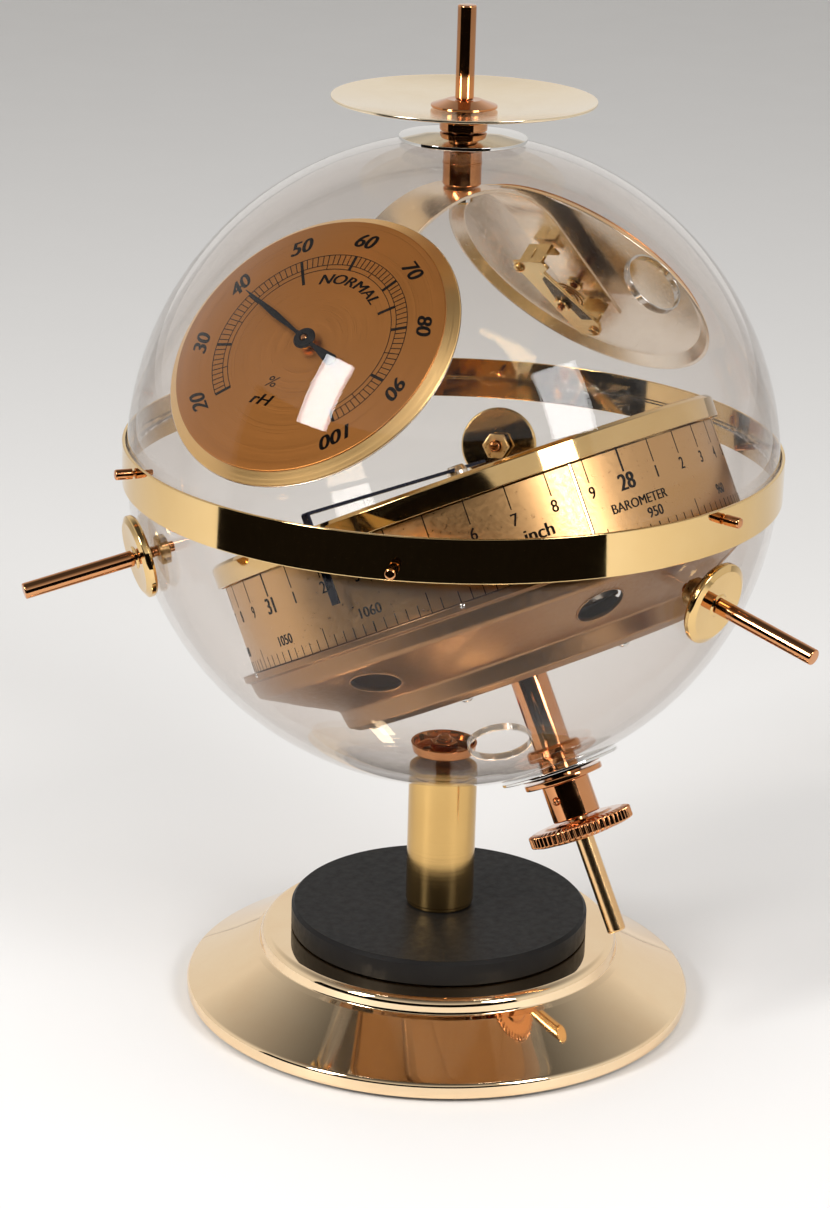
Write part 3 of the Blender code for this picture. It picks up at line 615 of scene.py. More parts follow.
def shell_half(vent, side):
    """Half the globe's wall, turned round its vent's axis so that the vent is a clean round hole."""
    inner = GLOBE_R - WALL
    edge = math.degrees(math.asin(VENT_R / GLOBE_R))
    inner_edge = math.degrees(math.asin(VENT_R / inner))
    steps = 88
    outside = arc(0, 0, GLOBE_R, 90 - edge - LIP_STEP, NADIR, steps)
    inside = arc(0, 0, inner, NADIR, 90 - inner_edge - LIP_STEP, steps)
    lip = [(VENT_R, math.sqrt(r**2 - VENT_R**2)) for r in (inner, GLOBE_R)]
    place = looking(CENTRE, direction(*vent))
    mesh = lathe(outside[:-1] + [(0.01, -GLOBE_R, 0), (0.01, -inner, 0)] + inside[1:] + lip, place)
    made = bmesh.new()
    made.from_mesh(mesh)
    bpy.data.meshes.remove(mesh)
    level = CENTRE + Vector((0, 0, side * HALF_SEAM * MM))
    whole = made.verts[:] + made.edges[:] + made.faces[:]
    down = (0, 0, -side)
    seam = bmesh.ops.bisect_plane(made, geom=whole, plane_co=level, plane_no=down, clear_outer=True)
    rim = [e for e in seam["geom_cut"] if isinstance(e, bmesh.types.BMEdge)]
    bmesh.ops.bridge_loops(made, edges=rim)
    bmesh.ops.recalc_face_normals(made, faces=made.faces)
    bead = lip + [(VENT_R - BEAD_WIDTH, z) for _, z in lip[::-1]]
    return as_mesh(made), lathe(bead, place, WIDE, 0.2)


def bore(radius, start, end, place):
    """What a hole through the globe's wall takes away."""
    return lathe([(0, start), (radius, start), (radius, end), (0, end)], place, TINY, 0)


def make_globe():
    top_bore = bore(3.3, 95, 80, GLOBE)
    bores = [bore(1.7, 95, 80, antenna_frame(side)) for side in SIDES]
    bores += [bore(5.6, -80, -95, BAROMETER), bore(2.3, -80, -95, GLOBE)]
    halves = (("upper", UPPER_VENT, 1, [top_bore]), ("lower", LOWER_VENT, -1, bores))
    for half, vent, side, cutters in halves:
        shell, bead = shell_half(vent, side)
        cut(shell, *cutters)
        solids = [(shell, ACRYLIC), (bead, CLEAR_EDGE)]
        show(f"globe_{half}_shell", solids, f"globe_{half}")
    low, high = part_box("equator_band")
    outer = (high.x - low.x) / 2 / MM
    half = (high.z - low.z) / 2 / MM
    band = [(outer, half, 0.3), (outer, -half, 0.3), (outer - 0.9, -half, 0.2), (outer - 0.9, half, 0.2)]
    spun("equator_gold_band", band, GLOBE, VAST, GOLD, "equator_band")
    screw = [(0, 95.8), (1.45, 95.8, 0.7), (1.45, 91.1), (0.8, 91.1), (0.8, 85.4, 0.2), (0, 85.4)]
    for number in BAND_SCREWS:
        node = f"band_screw_{number}"
        place = band_screw_frame(node)
        spun(f"band_pin_{number}", screw, place, TINY, COPPER, node, 0.1)


def make_antennas():
    for side in SIDES:
        place = antenna_frame(side)
        disc = [(1.7, 93.0), (2.9, 93.0, 0.1), (3.3, 92.6, 0.1), (9.7, 92.8, 0.4), (11.4, 91.9, 0.5)]
        disc += [(11.4, 90.6, 0.4), (10.9, 89.9, 0.2), (1.7, 89.9)]
        node = f"antenna_disc_{side}"
        spun(f"antenna_boss_{side}", disc, place, MIDDLE, GOLD, node)
        rod = [(0, 123.8), (2.2, 123.8, 0.45), (2.2, 93.3, 0.2), (1.4, 93.3, 0.1), (1.4, 81.5), (0, 81.5)]
        node = f"antenna_rod_{side}"
        spun(f"antenna_bar_{side}", rod, place, TINY, COPPER, node)
        nut = plate([ring(4.1, 6), ring(1.7, 24)], 83.3, 86.1, place, 0.35)
        show(f"antenna_hexagon_{side}", [(nut, SATIN_GOLD)], f"antenna_nut_{side}")


def make_top():
    rod = [(0, 124.7), (2.5, 124.7, 0.5), (2.5, 100.1, 0.2), (1.9, 100.1, 0.1), (1.9, 82.5, 0.2), (0, 82.5)]
    spun("top_bar", rod, GLOBE, TINY, COPPER, "top_rod")
    cap = [(2.3, 99.8), (4.6, 99.8, 0.8), (8.9, 98.3, 0.2), (8.9, 97.7, 0.2), (2.3, 97.5)]
    spun("top_cap", cap, GLOBE, MIDDLE, COPPER, "top_cap_washer")
    bore_r, edge_r, steps = 2.3, 35.5, 24
    radii = [bore_r + (edge_r - 0.6 - bore_r) * i / steps for i in range(steps + 1)]
    top = [(r, 97.0 + 3.4 * (r / edge_r) ** 2, 0) for r in radii]
    under = [(r, z - 0.8, 0) for r, z, _ in reversed(top)]
    dish = top + [(edge_r, 100.35, 0.3), (edge_r, 99.6, 0.3)] + under
    spun("top_gold_dish", dish, GLOBE, VAST, DISH_GOLD, "top_dish", 0.2)
    spacer = [(2.3, 95.9), (4.4, 95.9), (4.4, 94.6), (6.4, 93.9), (6.4, 91.6), (2.3, 91.6)]
    spun("top_collar", spacer, GLOBE, SMALL, COPPER, "top_spacer")
    washer = [(2.9, 91.3), (10.0, 91.1, 3), (17.2, 89.9, 0.2), (17.2, 88.9, 0.2), (10.0, 90.1, 3)]
    washer += [(2.9, 90.3)]
    spun("top_chrome_washer", washer, GLOBE, MIDDLE, CHROME, "top_washer")


# Hanger

STRAP_TURN = -4.4  # about the vertical
STRAP_DEPTH = {"hygrometer": 1.9, "thermometer": 1.3}  # from the dial's rim plane to its middle
STRAP_THICK = 1.0
STRAP_HALF_WIDTH = 8.5
STRAP_CROWN = 76.0
STRAP_PAST_DIAL = 10.0
ARC_STEPS = 30


def strap_arm(name):
    """Points of one arm in the strap's upright plane: an arc down from the crown, then a straight end."""
    normal = DIALS[name].to_3x3().col[2]
    centre = (DIALS[name].translation - CENTRE) / MM
    outwards = math.copysign(1, centre.x)
    turn = math.radians(STRAP_TURN)
    along = outwards * Vector((math.cos(turn), math.sin(turn), 0))
    lean = normal.dot(along)
    level = normal.dot(centre) - STRAP_DEPTH[name]
    slope = math.atan2(lean, normal.z)
    away = level / math.hypot(lean, normal.z)
    radius = (away - STRAP_CROWN * math.cos(slope)) / (1 - math.cos(slope))
    turns = [slope * i / ARC_STEPS for i in range(ARC_STEPS + 1)]
    line = [(radius * math.sin(t), STRAP_CROWN - radius * (1 - math.cos(t))) for t in turns]
    end = along.dot(centre) + STRAP_PAST_DIAL * math.cos(slope)
    line.append((end, (level - lean * end) / normal.z))
    return [(outwards * x, z) for x, z in line]


def make_hanger():
    stem = [(0, 82.1), (2.3, 82.1), (2.3, 86.3), (5.2, 86.3, 0.2), (5.2, 77.2, 0.3), (4.8, 76.8, 0.2)]
    stem += [(1.5, 76.8), (1.5, 80.9), (0, 80.9)]
    groove = [(5.35, 83.2), (5.35, 82.6), (5.1, 82.6), (5.1, 83.2)]
    solids = [(lathe(profile, GLOBE, SMALL, 0.1), COPPER) for profile in (stem, groove)]
    show("hanger_bush", solids, "hanger_stem")
    line = strap_arm("hygrometer")[::-1] + strap_arm("thermometer")[1:]
    over, under = [], []
    for i, (x, z) in enumerate(line):
        before, after = line[max(i - 1, 0)], line[min(i + 1, len(line) - 1)]
        along = Vector((after[0] - before[0], after[1] - before[1])).normalized()
        over.append((x - along.y * STRAP_THICK / 2, z + along.x * STRAP_THICK / 2))
        under.append((x + along.y * STRAP_THICK / 2, z - along.x * STRAP_THICK / 2))
    standing = turned_by(turned_by(GLOBE, STRAP_TURN), 90, "X")
    arch = plate([over + under[::-1]], -STRAP_HALF_WIDTH, STRAP_HALF_WIDTH, standing, 0.2)
    solids = [(arch, STRAP_STEEL)]
    for name, place in DIALS.items():
        back = -STRAP_DEPTH[name] - STRAP_THICK / 2
        solids.append((plate([ring(2.6, 6), ring(1.2, 24)], back - 0.8, back, place, 0.2), GOLD))
    show("hanger_steel_strap", solids, "hanger_strap")
    screw = [(0, 80.5), (1.2, 80.5), (1.2, 75.2), (3.1, 75.2, 0.2), (3.1, 72.4, 0.4), (2.3, 71.7)]
    screw += [(0, 71.7)]
    spun("hanger_steel_screw", screw, GLOBE, TINY, CHROME, "hanger_screw")


# Dials

FACE_Z = 2.8
FACE_R = 38.6
PAN_R = 41.7
HAND_Z = 5.2
SPAN = 136.0  # a dial's scale runs from -SPAN to SPAN degrees, clockwise from up
BRACKET_TURN = -14.4
SCALE_R = 27.9
SCALE_DEPTH = 4.5
NUMERAL_R = 32.6
BOLD_LINE = 0.85
FINE_LINE = 0.24
COIL_Z = -5.9
RANGES = {"hygrometer": (20, 100), "thermometer": (-30, 50)}
NORMAL_RANGE = (50, 75)


def scale_turn(name, value):
    """Where a value stands on a dial, in degrees clockwise from up."""
    first, last = RANGES[name]
    return -SPAN + 2 * SPAN * (value - first) / (last - first)


def dial_print(name, labels):
    """A dial's scale: three arcs, ticks for each unit, and numerals every ten units."""
    place = DIALS[name]
    ink = Ink(lambda x, y, lift: place @ (Vector((x, y, FACE_Z + lift)) * MM))
    inner = SCALE_R - SCALE_DEPTH
    between = SCALE_R - 3.1
    for radius in (SCALE_R, between, inner):
        ink.circle(radius, -SPAN, SPAN, 0.2)
    first, last = RANGES[name]
    for value in range(first, last + 1):
        turn = scale_turn(name, value)
        on_ten = value % 10 == 0
        depth = SCALE_R - (inner if value % 5 == 0 else between)
        width = BOLD_LINE if on_ten else FINE_LINE
        ink.line((0, 0), (0, -depth), width, straight(SCALE_R, turn))
        if on_ten:
            ink.words(str(value), 6.0, straight(NUMERAL_R, turn), 0.22, 0.28, 1.05)
    labels(ink)
    show(name + "_print", [(ink.mesh(), INK)], body="station", smooth=False)


def hygrometer_labels(ink):
    for value in NORMAL_RANGE:
        place = straight(SCALE_R, scale_turn("hygrometer", value))
        ink.line((0, -3.0), (0, -8.0), BOLD_LINE, place)
    turn = scale_turn("hygrometer", sum(NORMAL_RANGE) / 2)
    ink.words("NORMAL", 4.3, bent(SCALE_R - 7.8, turn), 0.14, 0.3, 1.2)
    ink.words("%", 4.6, flat(-5.0, -13.0), 0.0, 0.25, 1.1)
    ink.words("rH", 4.8, flat(-5.4, -18.6), 0.14, 0.3, 1.15)


def thermometer_labels(ink):
    ink.words("°C", 4.6, flat(0, -16.5), 0.06, 0.3, 1.1)


def make_pan(name):
    place = DIALS[name]
    face = [(1.6, FACE_Z, 0.1), (FACE_R, FACE_Z, 1.1), (FACE_R, FACE_Z - 0.5, 0), (1.6, FACE_Z - 0.5, 0.1)]
    bevel = [(FACE_R - 0.6, FACE_Z - 0.02, 0.3), (PAN_R - 0.25, 0.25, 0.5), (PAN_R - 0.1, -0.2, 0.15)]
    bevel += [(PAN_R - 0.5, -0.2, 0.1), (PAN_R - 0.7, 0.2, 0.2), (FACE_R - 0.8, FACE_Z - 0.4, 0.2)]
    back = [(1.6, FACE_Z - 0.4), (FACE_R - 0.7, FACE_Z - 0.4, 0.4), (PAN_R - 0.4, 0.1, 0.2)]
    back += [(PAN_R, -0.1, 0.1), (PAN_R, -0.3, 0.1), (PAN_R - 0.9, -0.3, 0.2)]
    back += [(FACE_R - 0.9, FACE_Z - 1.0, 0.6), (1.6, FACE_Z - 1.0)]
    solids = []
    for profile, finish in ((face, FACE), (bevel, RIM), (back, STEEL)):
        solids.append((lathe(profile, place, WIDE), finish))
    for side in (-1, 1):
        rivet = moved(place, y=side * 12.0, z=FACE_Z - 1.0)
        solids.append((screw_head(turned_by(rivet, 180, "X"), 1.9, 1.0, slot=False), STEEL))
    show(name + "_dial_pan", solids, name + "_pan")


def heights(place, node):
    """The lowest and highest point of a CAD node along the place's Z."""
    along = [(place.inverted() @ v.co).z / MM for v in frame["nodes"][node].data.vertices]
    return min(along), max(along)


def make_hand(name, rest):
    """A dial's hand, which swells towards its ringed hub and has a tail with a blunt end, and its arbor."""
    place = turned_by(DIALS[name], rest)
    right = [(0.12, 27.5), (0.32, 25.0), (0.75, 18.0), (0.95, 13.5), (0.62, 8.0), (0.45, 4.2)]
    turns = [math.radians(a) for a in range(12, 169, 12)]
    right += [(3.1 * math.sin(t), 3.1 * math.cos(t)) for t in turns]
    right += [(0.55, -4.2), (1.35, -9.5), (1.75, -12.2), (1.15, -13.0)]
    loop = right + [(0.0, -13.5)] + [(-x, y) for x, y in reversed(right)]
    hand = plate([loop, ring(1.2, 32)], HAND_Z, HAND_Z + 0.5, place, 0.12)
    top = HAND_Z + 0.45
    ridge = [(1.2, top), (3.0, top), (2.7, HAND_Z + 0.85, 0.2), (1.2, HAND_Z + 0.95)]
    solids = [(hand, HAND_BLACK), (lathe(ridge, place, SMALL, 0.1), HAND_BLACK)]
    show(name + "_black_hand", solids, name + "_hand")
    bottom, top = heights(place, name + "_arbor")
    arbor = [(0, top), (0.55, top, 0.2), (0.9, top - 0.35, 0.2), (0.9, bottom, 0.2), (0, bottom)]
    boss = [(0.9, HAND_Z - 0.1), (2.4, HAND_Z - 0.1, 0.2), (2.4, HAND_Z - 1.1), (1.9, HAND_Z - 1.3)]
    boss += [(1.9, FACE_Z + 0.3), (0.9, FACE_Z + 0.3)]
    solids = [(lathe(arbor, place, TINY, 0.1), COPPER), (lathe(boss, place, SMALL, 0.1), GOLD)]
    show(name + "_pivot", solids, name + "_arbor")


def make_bracket(name):
    """The movement's brass box behind the strap: a web with two screws, and end walls with tabs."""
    dial = DIALS[name]
    web, foot = heights(dial, name + "_bracket")
    place = turned_by(dial, BRACKET_TURN)
    sheet, left, right = 0.9, -7.6, 2.1
    shape = [(-7.0, -9.5), (-4.6, -13.0), (-2.4, -14.6), (5.2, -14.6), (5.5, -9.2), (5.3, 5.5)]
    shape += [(5.5, 17.4), (4.6, 18.8), (left, 18.8), (left, 15.5), (-4.2, 13.8)]
    solids = [(plate([shape, ring(1.2, 24)], web, web + sheet, place, 0.2), BRASS)]
    # The web's window is not cut out: a dark sheet just over the web stands in for the shade inside the box, as
    # painted shade.
    shade_window = [(-1.1, 11.1), (-3.2, 12.4), (-6.2, -7.2), (-1.4, -7.2), (-1.4, -1.6), (1.4, 1.6)]
    shade_window += [(1.4, 2.4)]
    solids.append((plate([shade_window], web - 0.05, web + 0.1, place, 0.1), WINDOW_SHADE))
    upright = turned_by(place, -90, "X")
    wall = [(left, -foot), (right, -foot), (right, -web), (left, -web)]
    slot = [(-2.8, 4.4), (-2.2, 4.4), (-2.2, 7.4), (-2.8, 7.4)]
    for loops, end, foot_end in (([wall, slot], 18.0, 14.9), ([wall], -8.5, -7.7)):
        solids.append((plate(loops, end, end + sheet, upright, 0.15), BRASS))
        tab = [(left, foot_end), (right, foot_end), (right, foot_end + 3.2), (left, foot_end + 3.2)]
        solids.append((plate([tab], foot - sheet, foot, place, 0.15), BRASS))
    for x, y in ((3.9, 16.4), (-2.2, -12.4)):
        solids.append((screw_head(turned_by(moved(place, x, y, web), 180, "X"), 1.7, 1.3), GOLD))
    collar = [(1.2, web + 0.1), (2.4, web + 0.1, 0.2), (2.4, web - 1.0, 0.3), (1.2, web - 1.0, 0.2)]
    solids.append((lathe(collar, place, TINY, 0.2), GOLD))
    show(name + "_brass_bracket", solids, name + "_bracket")
    points = []
    steps, inner, outer, degrees_per_step = 200, 2.2, 5.8, 4.5
    for i in range(steps + 1):
        radius = inner + (outer - inner) * i / steps
        t = math.radians(i * degrees_per_step)
        points.append((radius * math.cos(t), radius * math.sin(t), COIL_Z))
    show(name + "_spiral", [(wire(points, 0.28, dial), SATIN_GOLD)], name + "_coil")


# Barometer

DRUM_R = 70.5
DRUM_TOP = -12.8
DRUM_BOTTOM = -37.0
ZERO_AZIMUTH = -58.3  # where 27.5 inches stands, from the front towards +X
DEGREES_PER_INCH = 90.0
HPA_PER_INCH = 33.8639
FIRST_INCH = 27.5
SCALE_INCHES = 3.98
SEAM_INCHES = 27.868
SEAM_EDGE = 0.42


def on_drum(inches, height):
    """x round the drum to the right of a pressure in inches, and y up from a height."""
    turn = math.radians(ZERO_AZIMUTH + (inches - FIRST_INCH) * DEGREES_PER_INCH - 90)
    return lambda x, y: (turn * DRUM_R + x, height + y)


def drum_surface(x, y, lift):
    turn = x / DRUM_R
    radius = DRUM_R + lift
    return BAROMETER @ (Vector((radius * math.cos(turn), radius * math.sin(turn), y)) * MM)


def make_scale():
    drum = [(DRUM_R, DRUM_TOP, 0.2), (DRUM_R, DRUM_BOTTOM, 0.1), (DRUM_R - 0.8, DRUM_BOTTOM, 0.1)]
    drum += [(DRUM_R - 0.8, DRUM_TOP, 0.1)]
    solids = [(lathe(drum, BAROMETER, VAST), SCALE_GOLD)]
    # The seam where the scale strip's ends overlap, drawn as a thin strip painted pale: a painted highlight along
    # a real seam.
    seam = Ink(drum_surface)
    seam.line((0, DRUM_TOP), (0, DRUM_BOTTOM), 0.7, on_drum(SEAM_INCHES, 0))
    solids.append((seam.mesh(), SEAM_HIGHLIGHT))
    show("scale_drum", solids, "barometer_scale")
    ink = Ink(drum_surface)
    for tenth in range(40):
        inches = FIRST_INCH + tenth / 10
        whole = round(inches * 10) % 10 == 0
        ink.line((0, DRUM_TOP), (0, DRUM_TOP - 6.2), 0.6 if whole else 0.3, on_drum(inches, 0))
        text = str(round(inches)) if whole else str(round(inches * 10) % 10)
        ink.words(text, 6.2 if whole else 4.6, on_drum(inches, -21.8), 0.22 if whole else 0.08, 0, 0.85)
    for x in (SEAM_EDGE, -SEAM_EDGE):
        ink.line((x, DRUM_TOP), (x, DRUM_BOTTOM), 0.2, on_drum(SEAM_INCHES, 0))
    low_hpa = math.ceil(FIRST_INCH * HPA_PER_INCH)
    high_hpa = math.floor((FIRST_INCH + SCALE_INCHES) * HPA_PER_INCH)
    for hpa in range(low_hpa, high_hpa + 1):
        inches = hpa / HPA_PER_INCH
        top = DRUM_BOTTOM + (5.4 if hpa % 10 == 5 else 3.0)
        width = 0.42 if hpa % 10 == 0 else FINE_LINE
        ink.line((0, DRUM_BOTTOM), (0, top), width, on_drum(inches, 0))
        if hpa % 10 == 0:
            ink.words(str(hpa), 3.9, on_drum(inches, DRUM_BOTTOM + 5.6), 0.1, 0, 0.95)
    ink.words("inch", 5.0, on_drum(27.745, -26.8), 0.16)
    ink.words("hPa", 4.2, on_drum(27.64, -32.6), 0.1)
    ink.words("BAROMETER", 3.6, on_drum(28.02, -27.6), 0.08, 0, 0.95)
    show("drum_print", [(ink.mesh(), INK)], body="station", smooth=False)


def make_bezel():
    outer = 72.5
    bezel = [(1.6, -7.6), (66.5, -7.6, 0.6), (69.2, -6.1, 0.5), (71.4, -6.0, 0.6), (outer, -7.0, 0.4)]
    bezel += [(outer, -12.4, 0.2), (outer - 0.8, -12.5, 0.1), (outer - 0.9, -8.8, 0.2), (1.6, -8.8)]
    solids = [(lathe(bezel, BAROMETER, VAST), GOLD)]
    bead = [(58.0, -7.35, 0.2), (60.0, -7.35, 0.2), (60.2, -7.8, 0), (57.8, -7.8, 0)]
    solids.append((lathe(bead, BAROMETER, VAST), GOLD))
    hub = [(1.6, -6.3, 0.2), (6.5, -6.3, 0.5), (8.5, -7.4, 0.4), (8.5, -7.8, 0), (1.6, -7.8, 0)]
    solids.append((lathe(hub, BAROMETER, MIDDLE), SATIN_GOLD))
    for i in range(3):
        place = moved(turned_by(BAROMETER, 30 + 120 * i), x=52.0, z=-7.6)
        solids.append((screw_head(place, 2.0, 1.0), COPPER))
    show("barometer_gold_bezel", solids, "barometer_bezel")


HOUSING_CORNER = (71.9, -44.2)
HOUSING_PAN = (52.1, -54.9)
HOUSING_HOLE_R = 6.7
HOUSING_HOLES = 6
HOUSING_HOLE_AZIMUTH = -26.0


def cone_place(azimuth, share=0.5):
    """On the housing's cone at that azimuth and share of its width, with Z out of the metal."""
    r = HOUSING_CORNER[0] + (HOUSING_PAN[0] - HOUSING_CORNER[0]) * share
    z = HOUSING_CORNER[1] + (HOUSING_PAN[1] - HOUSING_CORNER[1]) * share
    fall = Vector(HOUSING_CORNER) - Vector(HOUSING_PAN)
    cone = math.degrees(math.atan2(fall.x, fall.y))
    return turned_by(moved(turned_by(BAROMETER, azimuth - 90), x=r, z=z), 90 + cone, "Y")


def make_housing():
    outside = [(69.5, -37.3, 0.1), (73.9, -37.3, 0.2), (73.9, -39.1, 0.5), (72.6, -39.7, 0.5)]
    outside += [(*HOUSING_CORNER, 2.4), (*HOUSING_PAN, 1.5), (51.3, -60.0, 1.2), (48.5, -61.5, 1.5)]
    outside += [(40.0, -61.5, 0), (38.5, -60.9, 0.5), (5.5, -60.9, 0.3)]
    inside = [(5.5, -60.1, 0.2), (48.0, -60.3, 0.5), (50.3, -59.3, 0.8), (51.0, -54.1, 1)]
    inside += [(70.9, -43.6, 1.5), (71.5, -40.1, 0.3), (69.5, -38.3, 0.3)]
    shell = lathe(outside + inside, BAROMETER, VAST)
    azimuths = [HOUSING_HOLE_AZIMUTH + 360 / HOUSING_HOLES * i for i in range(HOUSING_HOLES)]
    r = HOUSING_HOLE_R
    hole = [(0, 4), (r, 4), (r, -4), (0, -4)]
    cut(shell, *(lathe(hole, cone_place(a), SMALL, 0) for a in azimuths))
    solids = [(shell, HOUSING)]
    lip = [(r + 0.35, 0.0, 0.2), (r + 0.1, 0.22, 0.15), (r - 0.15, 0.1, 0.1), (r - 0.15, -0.9, 0.1)]
    lip += [(r + 0.3, -0.9, 0.1)]
    for azimuth in azimuths:
        solids.append((lathe(lip, cone_place(azimuth), SMALL), HOUSING))
        flange = turned_by(moved(turned_by(BAROMETER, azimuth - 60), x=72.9, z=-38.0), 90, "Y")
        solids.append((screw_head(moved(flange, x=-0.2, z=0.9), 0.75, 0.35), CHROME))
        under = turned_by(moved(turned_by(BAROMETER, azimuth - 75), x=44.2, z=-61.45), 180, "X")
        solids.append((screw_head(under, 1.7, 1.0), CHROME))
    show("barometer_copper_housing", solids, "barometer_housing")


def make_capsule():
    """The aneroid capsule, with its rings of corrugations."""
    top = [(0, -43.4), (4, -43.4, 0.5), (4.4, -44.4, 0.3)]
    top += [(6 + i, -44.3 + 0.45 * math.sin(i * 1.25), 0) for i in range(22)]
    profile = top + [(31, -47.0, 0.8), (31, -49.4, 0.8), (12, -52.4, 2), (0, -52.4)]
    node = "barometer_capsule"
    spun("aneroid_capsule", profile, BAROMETER, MIDDLE, STEEL, node)


def make_pointer(rest):
    tail, tip, low_z = -14, 74.7, -27.0
    arm = [(tail, -3.1), (tip, -3.1), (tip, low_z), (75.4, low_z), (75.4, -2.8), (74.8, -2.2), (tail, -2.2)]
    place = turned_by(turned_by(BAROMETER, rest), 90, "X")
    solids = [(plate([arm], -1.2, 1.2, place, 0.12), BLUED)]
    show("blued_pointer", solids, "barometer_pointer")
    arbor = [(0, -1.5), (2.2, -1.5, 0.4), (3.0, -3.2, 0.2), (3.0, -4.8, 0.2), (1.0, -5.0, 0.1)]
    arbor += [(1.0, -36.0, 0.1), (0, -36.0)]
    spun("pointer_hub", arbor, BAROMETER, SMALL, STEEL, "barometer_arbor")


def make_stem():
    stem = [(2.9, -55.0), (8.0, -55.0), (8.0, -56.4), (5.2, -56.4), (5.2, -103.5), (2.9, -103.5)]
    spun("stem_copper_tube", stem, BAROMETER, SMALL, COPPER, "barometer_stem")
    nut = [(5.5, -82.7), (6.9, -82.7, 0.4), (7.6, -83.4, 0.4), (7.6, -85.9, 0.2), (5.5, -86.0)]
    ribbed = lathe(nut, BAROMETER, SMALL, ribs=(24, 0.25, 7.2))
    show("stem_round_nut", [(ribbed, COPPER)], "stem_nut")
    washer = [(5.5, -90.0), (10.0, -89.8, 3), (16.7, -88.7, 0.2), (16.7, -89.5, 0.2), (10.0, -90.6, 3)]
    washer += [(5.5, -90.9)]
    spun("stem_chrome_washer", washer, BAROMETER, MIDDLE, CHROME, "stem_washer")
    lock = [(5.5, -91.2), (11.1, -91.2, 0.4), (11.1, -92.8, 0.4), (5.5, -92.8)]
    spun("stem_lock_ring", lock, BAROMETER, MIDDLE, COPPER, "stem_lock_washer")
    collar = [(5.5, -93.1), (6.7, -93.1, 0.3), (6.7, -103.5, 0.4), (5.5, -103.5)]
    solids = [(lathe(collar, BAROMETER, SMALL), COPPER)]
    for azimuth in (-85, 95):
        grub = turned_by(moved(turned_by(BAROMETER, azimuth - 90), x=6.6, z=-97.5), 90, "Y")
        solids.append((screw_head(grub, 1.25, 0.9), COPPER))
    show("stem_copper_collar", solids, "stem_collar")


def make_knob():
    top, bottom, radius = -104.0, -109.2, 14.7
    count = 54
    rim = [(2.9, top), (9.0, top), (10.0, top - 0.5), (12.6, top - 0.5, 0.4), (radius, top - 1.1, 0.5)]
    rim += [(radius, bottom + 1.1, 0.5), (12.6, bottom + 0.5, 0.4), (10.0, bottom + 0.5)]
    rim += [(9.0, bottom), (2.9, bottom)]
    knob = lathe(rim, BAROMETER, count * 8, ribs=(count, 0.75, radius - 0.9))
    show("ribbed_knob", [(knob, COPPER)], "calibration_knob")
    rod = [(0, -57.0), (2.6, -57.0, 0.3), (2.6, -137.0, 0.6), (0, -137.0)]
    spun("knob_rod", rod, BAROMETER, TINY, ROD_GOLD, "calibration_rod")


def dress_hidden_nodes():
    """The CAD nodes that stay, sealed inside, get a finish of the same family as their neighbours."""
    finishes = {"foot_weight": IRON}
    finishes.update({f"barometer_{part}": SATIN_GOLD for part in ("bridge", "sector", "lever")})
    for node, finish in finishes.items():
        piece = frame["nodes"][node]
        piece.data.materials.clear()
        piece.data.materials.append(finish)


# Stage, lights and camera

def make_stage():
    made = bmesh.new()
    bmesh.ops.create_circle(made, cap_ends=True, segments=96, radius=FLOOR_R)
    bmesh.ops.translate(made, verts=made.verts, vec=(0, 0, FLOOR_Z))
    floor = linked("floor", as_mesh(made))
    finish = Finish("pale_floor", (0.80, 0.79, 0.78), 0.0, 0.55)
    finish.vary_roughness(finish.noise(20), 0.5, 0.6)
    floor.data.materials.append(finish.made)


CAMERA_AZIMUTH = -51.0  # from the front towards +X
CAMERA_DISTANCE = 0.8768  # level distance from the globe's axis, in metres
CAMERA_RISE = 0.254  # above the globe's centre, in metres
CAMERA_YAW = 0.61
CAMERA_PITCH = -18.65
CAMERA_ROLL = 1.61
CAMERA_LENS = 98.9
DARK_FROM = -80.0  # the studio's dark side, in degrees to the camera's right
DARK_TO = 50.0
DARK_EDGE = ((0.36, 0.001), (1.9, 0.001), (1.9, 0.95))  # radius and height, in metres
DARK_STEPS = 24
FLOOR_R = 4.0  # in metres
FLOOR_Z = -0.0003  # in metres


def make_camera():
    lens = bpy.data.cameras.new("camera")
    lens.lens = CAMERA_LENS
    lens.sensor_width = 36.0
    camera = linked("camera", lens)
    place = CENTRE + direction(CAMERA_AZIMUTH, 0) * CAMERA_DISTANCE + Vector((0, 0, CAMERA_RISE))
    turn = turned_by(UPRIGHT, CAMERA_AZIMUTH + CAMERA_YAW)
    turn = turned_by(turned_by(turn, 90 + CAMERA_PITCH, "X"), CAMERA_ROLL)
    camera.matrix_world = Matrix.Translation(place) @ turn
    bpy.context.scene.camera = camera


def softbox(name, azimuth, latitude, distance, width, height, watts, mirrored=True):
    """A soft light that faces the globe, from azimuth degrees to the camera's right."""
    light = bpy.data.lights.new(name, "AREA")
    light.shape = "RECTANGLE"
    light.size = width
    light.size_y = height
    light.energy = watts
    lamp = linked(name, light)
    towards = direction(CAMERA_AZIMUTH + azimuth, latitude)
    lamp.matrix_world = looking(CENTRE + towards * distance, towards)
    lamp.visible_glossy = mirrored


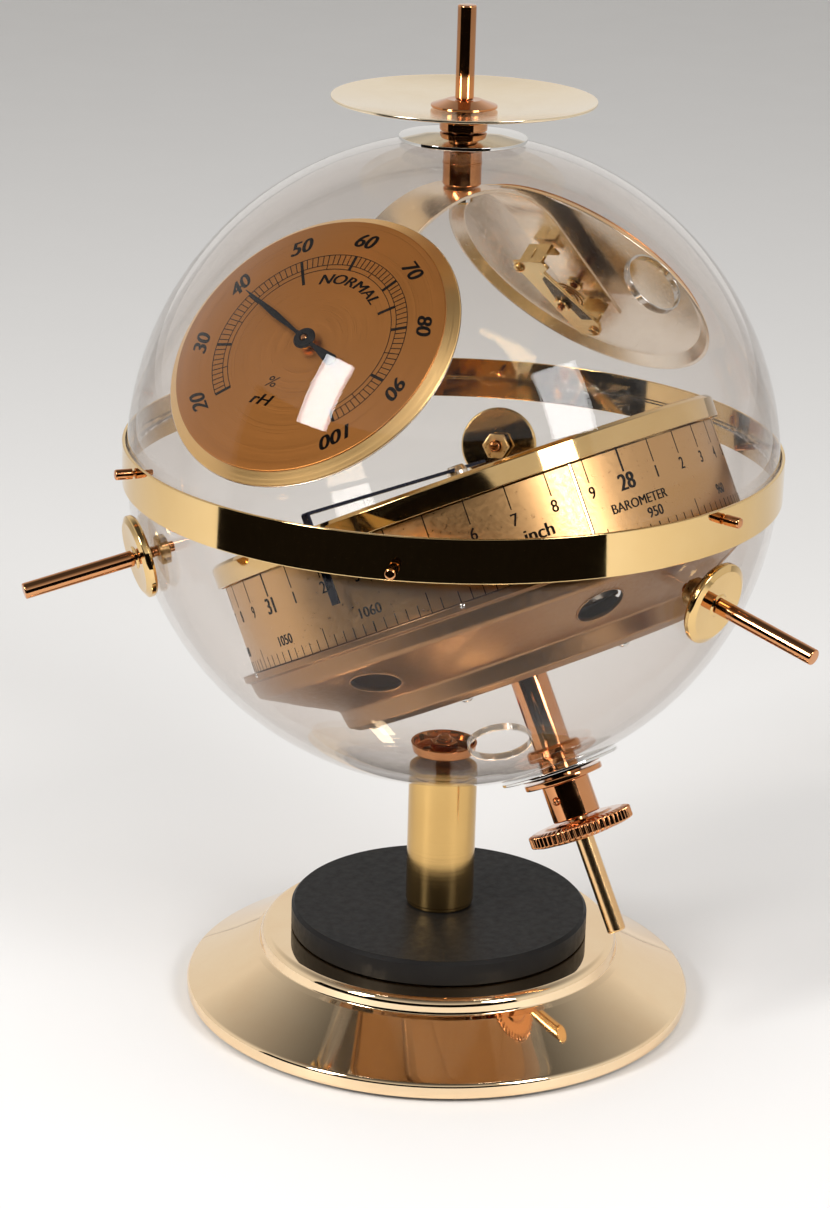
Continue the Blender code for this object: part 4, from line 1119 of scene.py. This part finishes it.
def make_lights():
    softbox("left_softbox", -52, 30, 1.3, 0.24, 0.50, 12)
    softbox("right_softbox", 44, 32, 1.3, 0.36, 0.50, 9)
    softbox("top_softbox", 0, 84, 1.6, 1.2, 1.2, 9, mirrored=False)
    world = bpy.data.worlds.new("studio")
    world.use_nodes = True
    tree = world.node_tree
    background = tree.nodes["Background"]
    coordinates = tree.nodes.new("ShaderNodeTexCoord")
    split = tree.nodes.new("ShaderNodeSeparateXYZ")
    ramp = tree.nodes.new("ShaderNodeValToRGB")
    tree.links.new(coordinates.outputs["Generated"], split.inputs["Vector"])
    tree.links.new(split.outputs["Z"], ramp.inputs["Fac"])
    tree.links.new(ramp.outputs["Color"], background.inputs["Color"])
    ramp.color_ramp.elements[0].position = 0.45
    ramp.color_ramp.elements[0].color = (0.95, 0.93, 0.90, 1)
    ramp.color_ramp.elements[1].position = 0.92
    ramp.color_ramp.elements[1].color = (0.10, 0.095, 0.09, 1)
    background.inputs["Strength"].default_value = 0.82
    bpy.context.scene.world = world


def make_flag():
    """The studio's dark side: a black floor and wall round the camera's side, which only mirrors see."""
    made = bmesh.new()
    rows = []
    for step in range(DARK_STEPS + 1):
        turn = CAMERA_AZIMUTH + DARK_FROM + (DARK_TO - DARK_FROM) * step / DARK_STEPS
        out = direction(turn, 0)
        rows.append([made.verts.new(out * r + Vector((0, 0, z))) for r, z in DARK_EDGE])
    for here, after in zip(rows, rows[1:]):
        for i in range(2):
            made.faces.new((here[i], here[i + 1], after[i + 1], after[i]))
    flag = linked("flag", as_mesh(made))
    flag.data.materials.append(DARK_SCREEN)
    flag.visible_camera = False
    flag.visible_shadow = False
    flag.visible_diffuse = False
    flag.visible_transmission = False


REST_TURN = {"hygrometer": 68.0, "thermometer": 0.0}
POINTER_TURN = 189.2

bpy.context.scene.view_settings.view_transform = "Standard"
make_foot()
make_post()
make_globe()
make_antennas()
make_top()
make_hanger()
for dial in DIALS:
    make_pan(dial)
    make_hand(dial, REST_TURN[dial])
    make_bracket(dial)
dial_print("hygrometer", hygrometer_labels)
dial_print("thermometer", thermometer_labels)
make_bezel()
make_scale()
make_housing()
make_capsule()
make_pointer(POINTER_TURN)
make_stem()
make_knob()
dress_hidden_nodes()
make_stage()
make_camera()
make_lights()
make_flag()
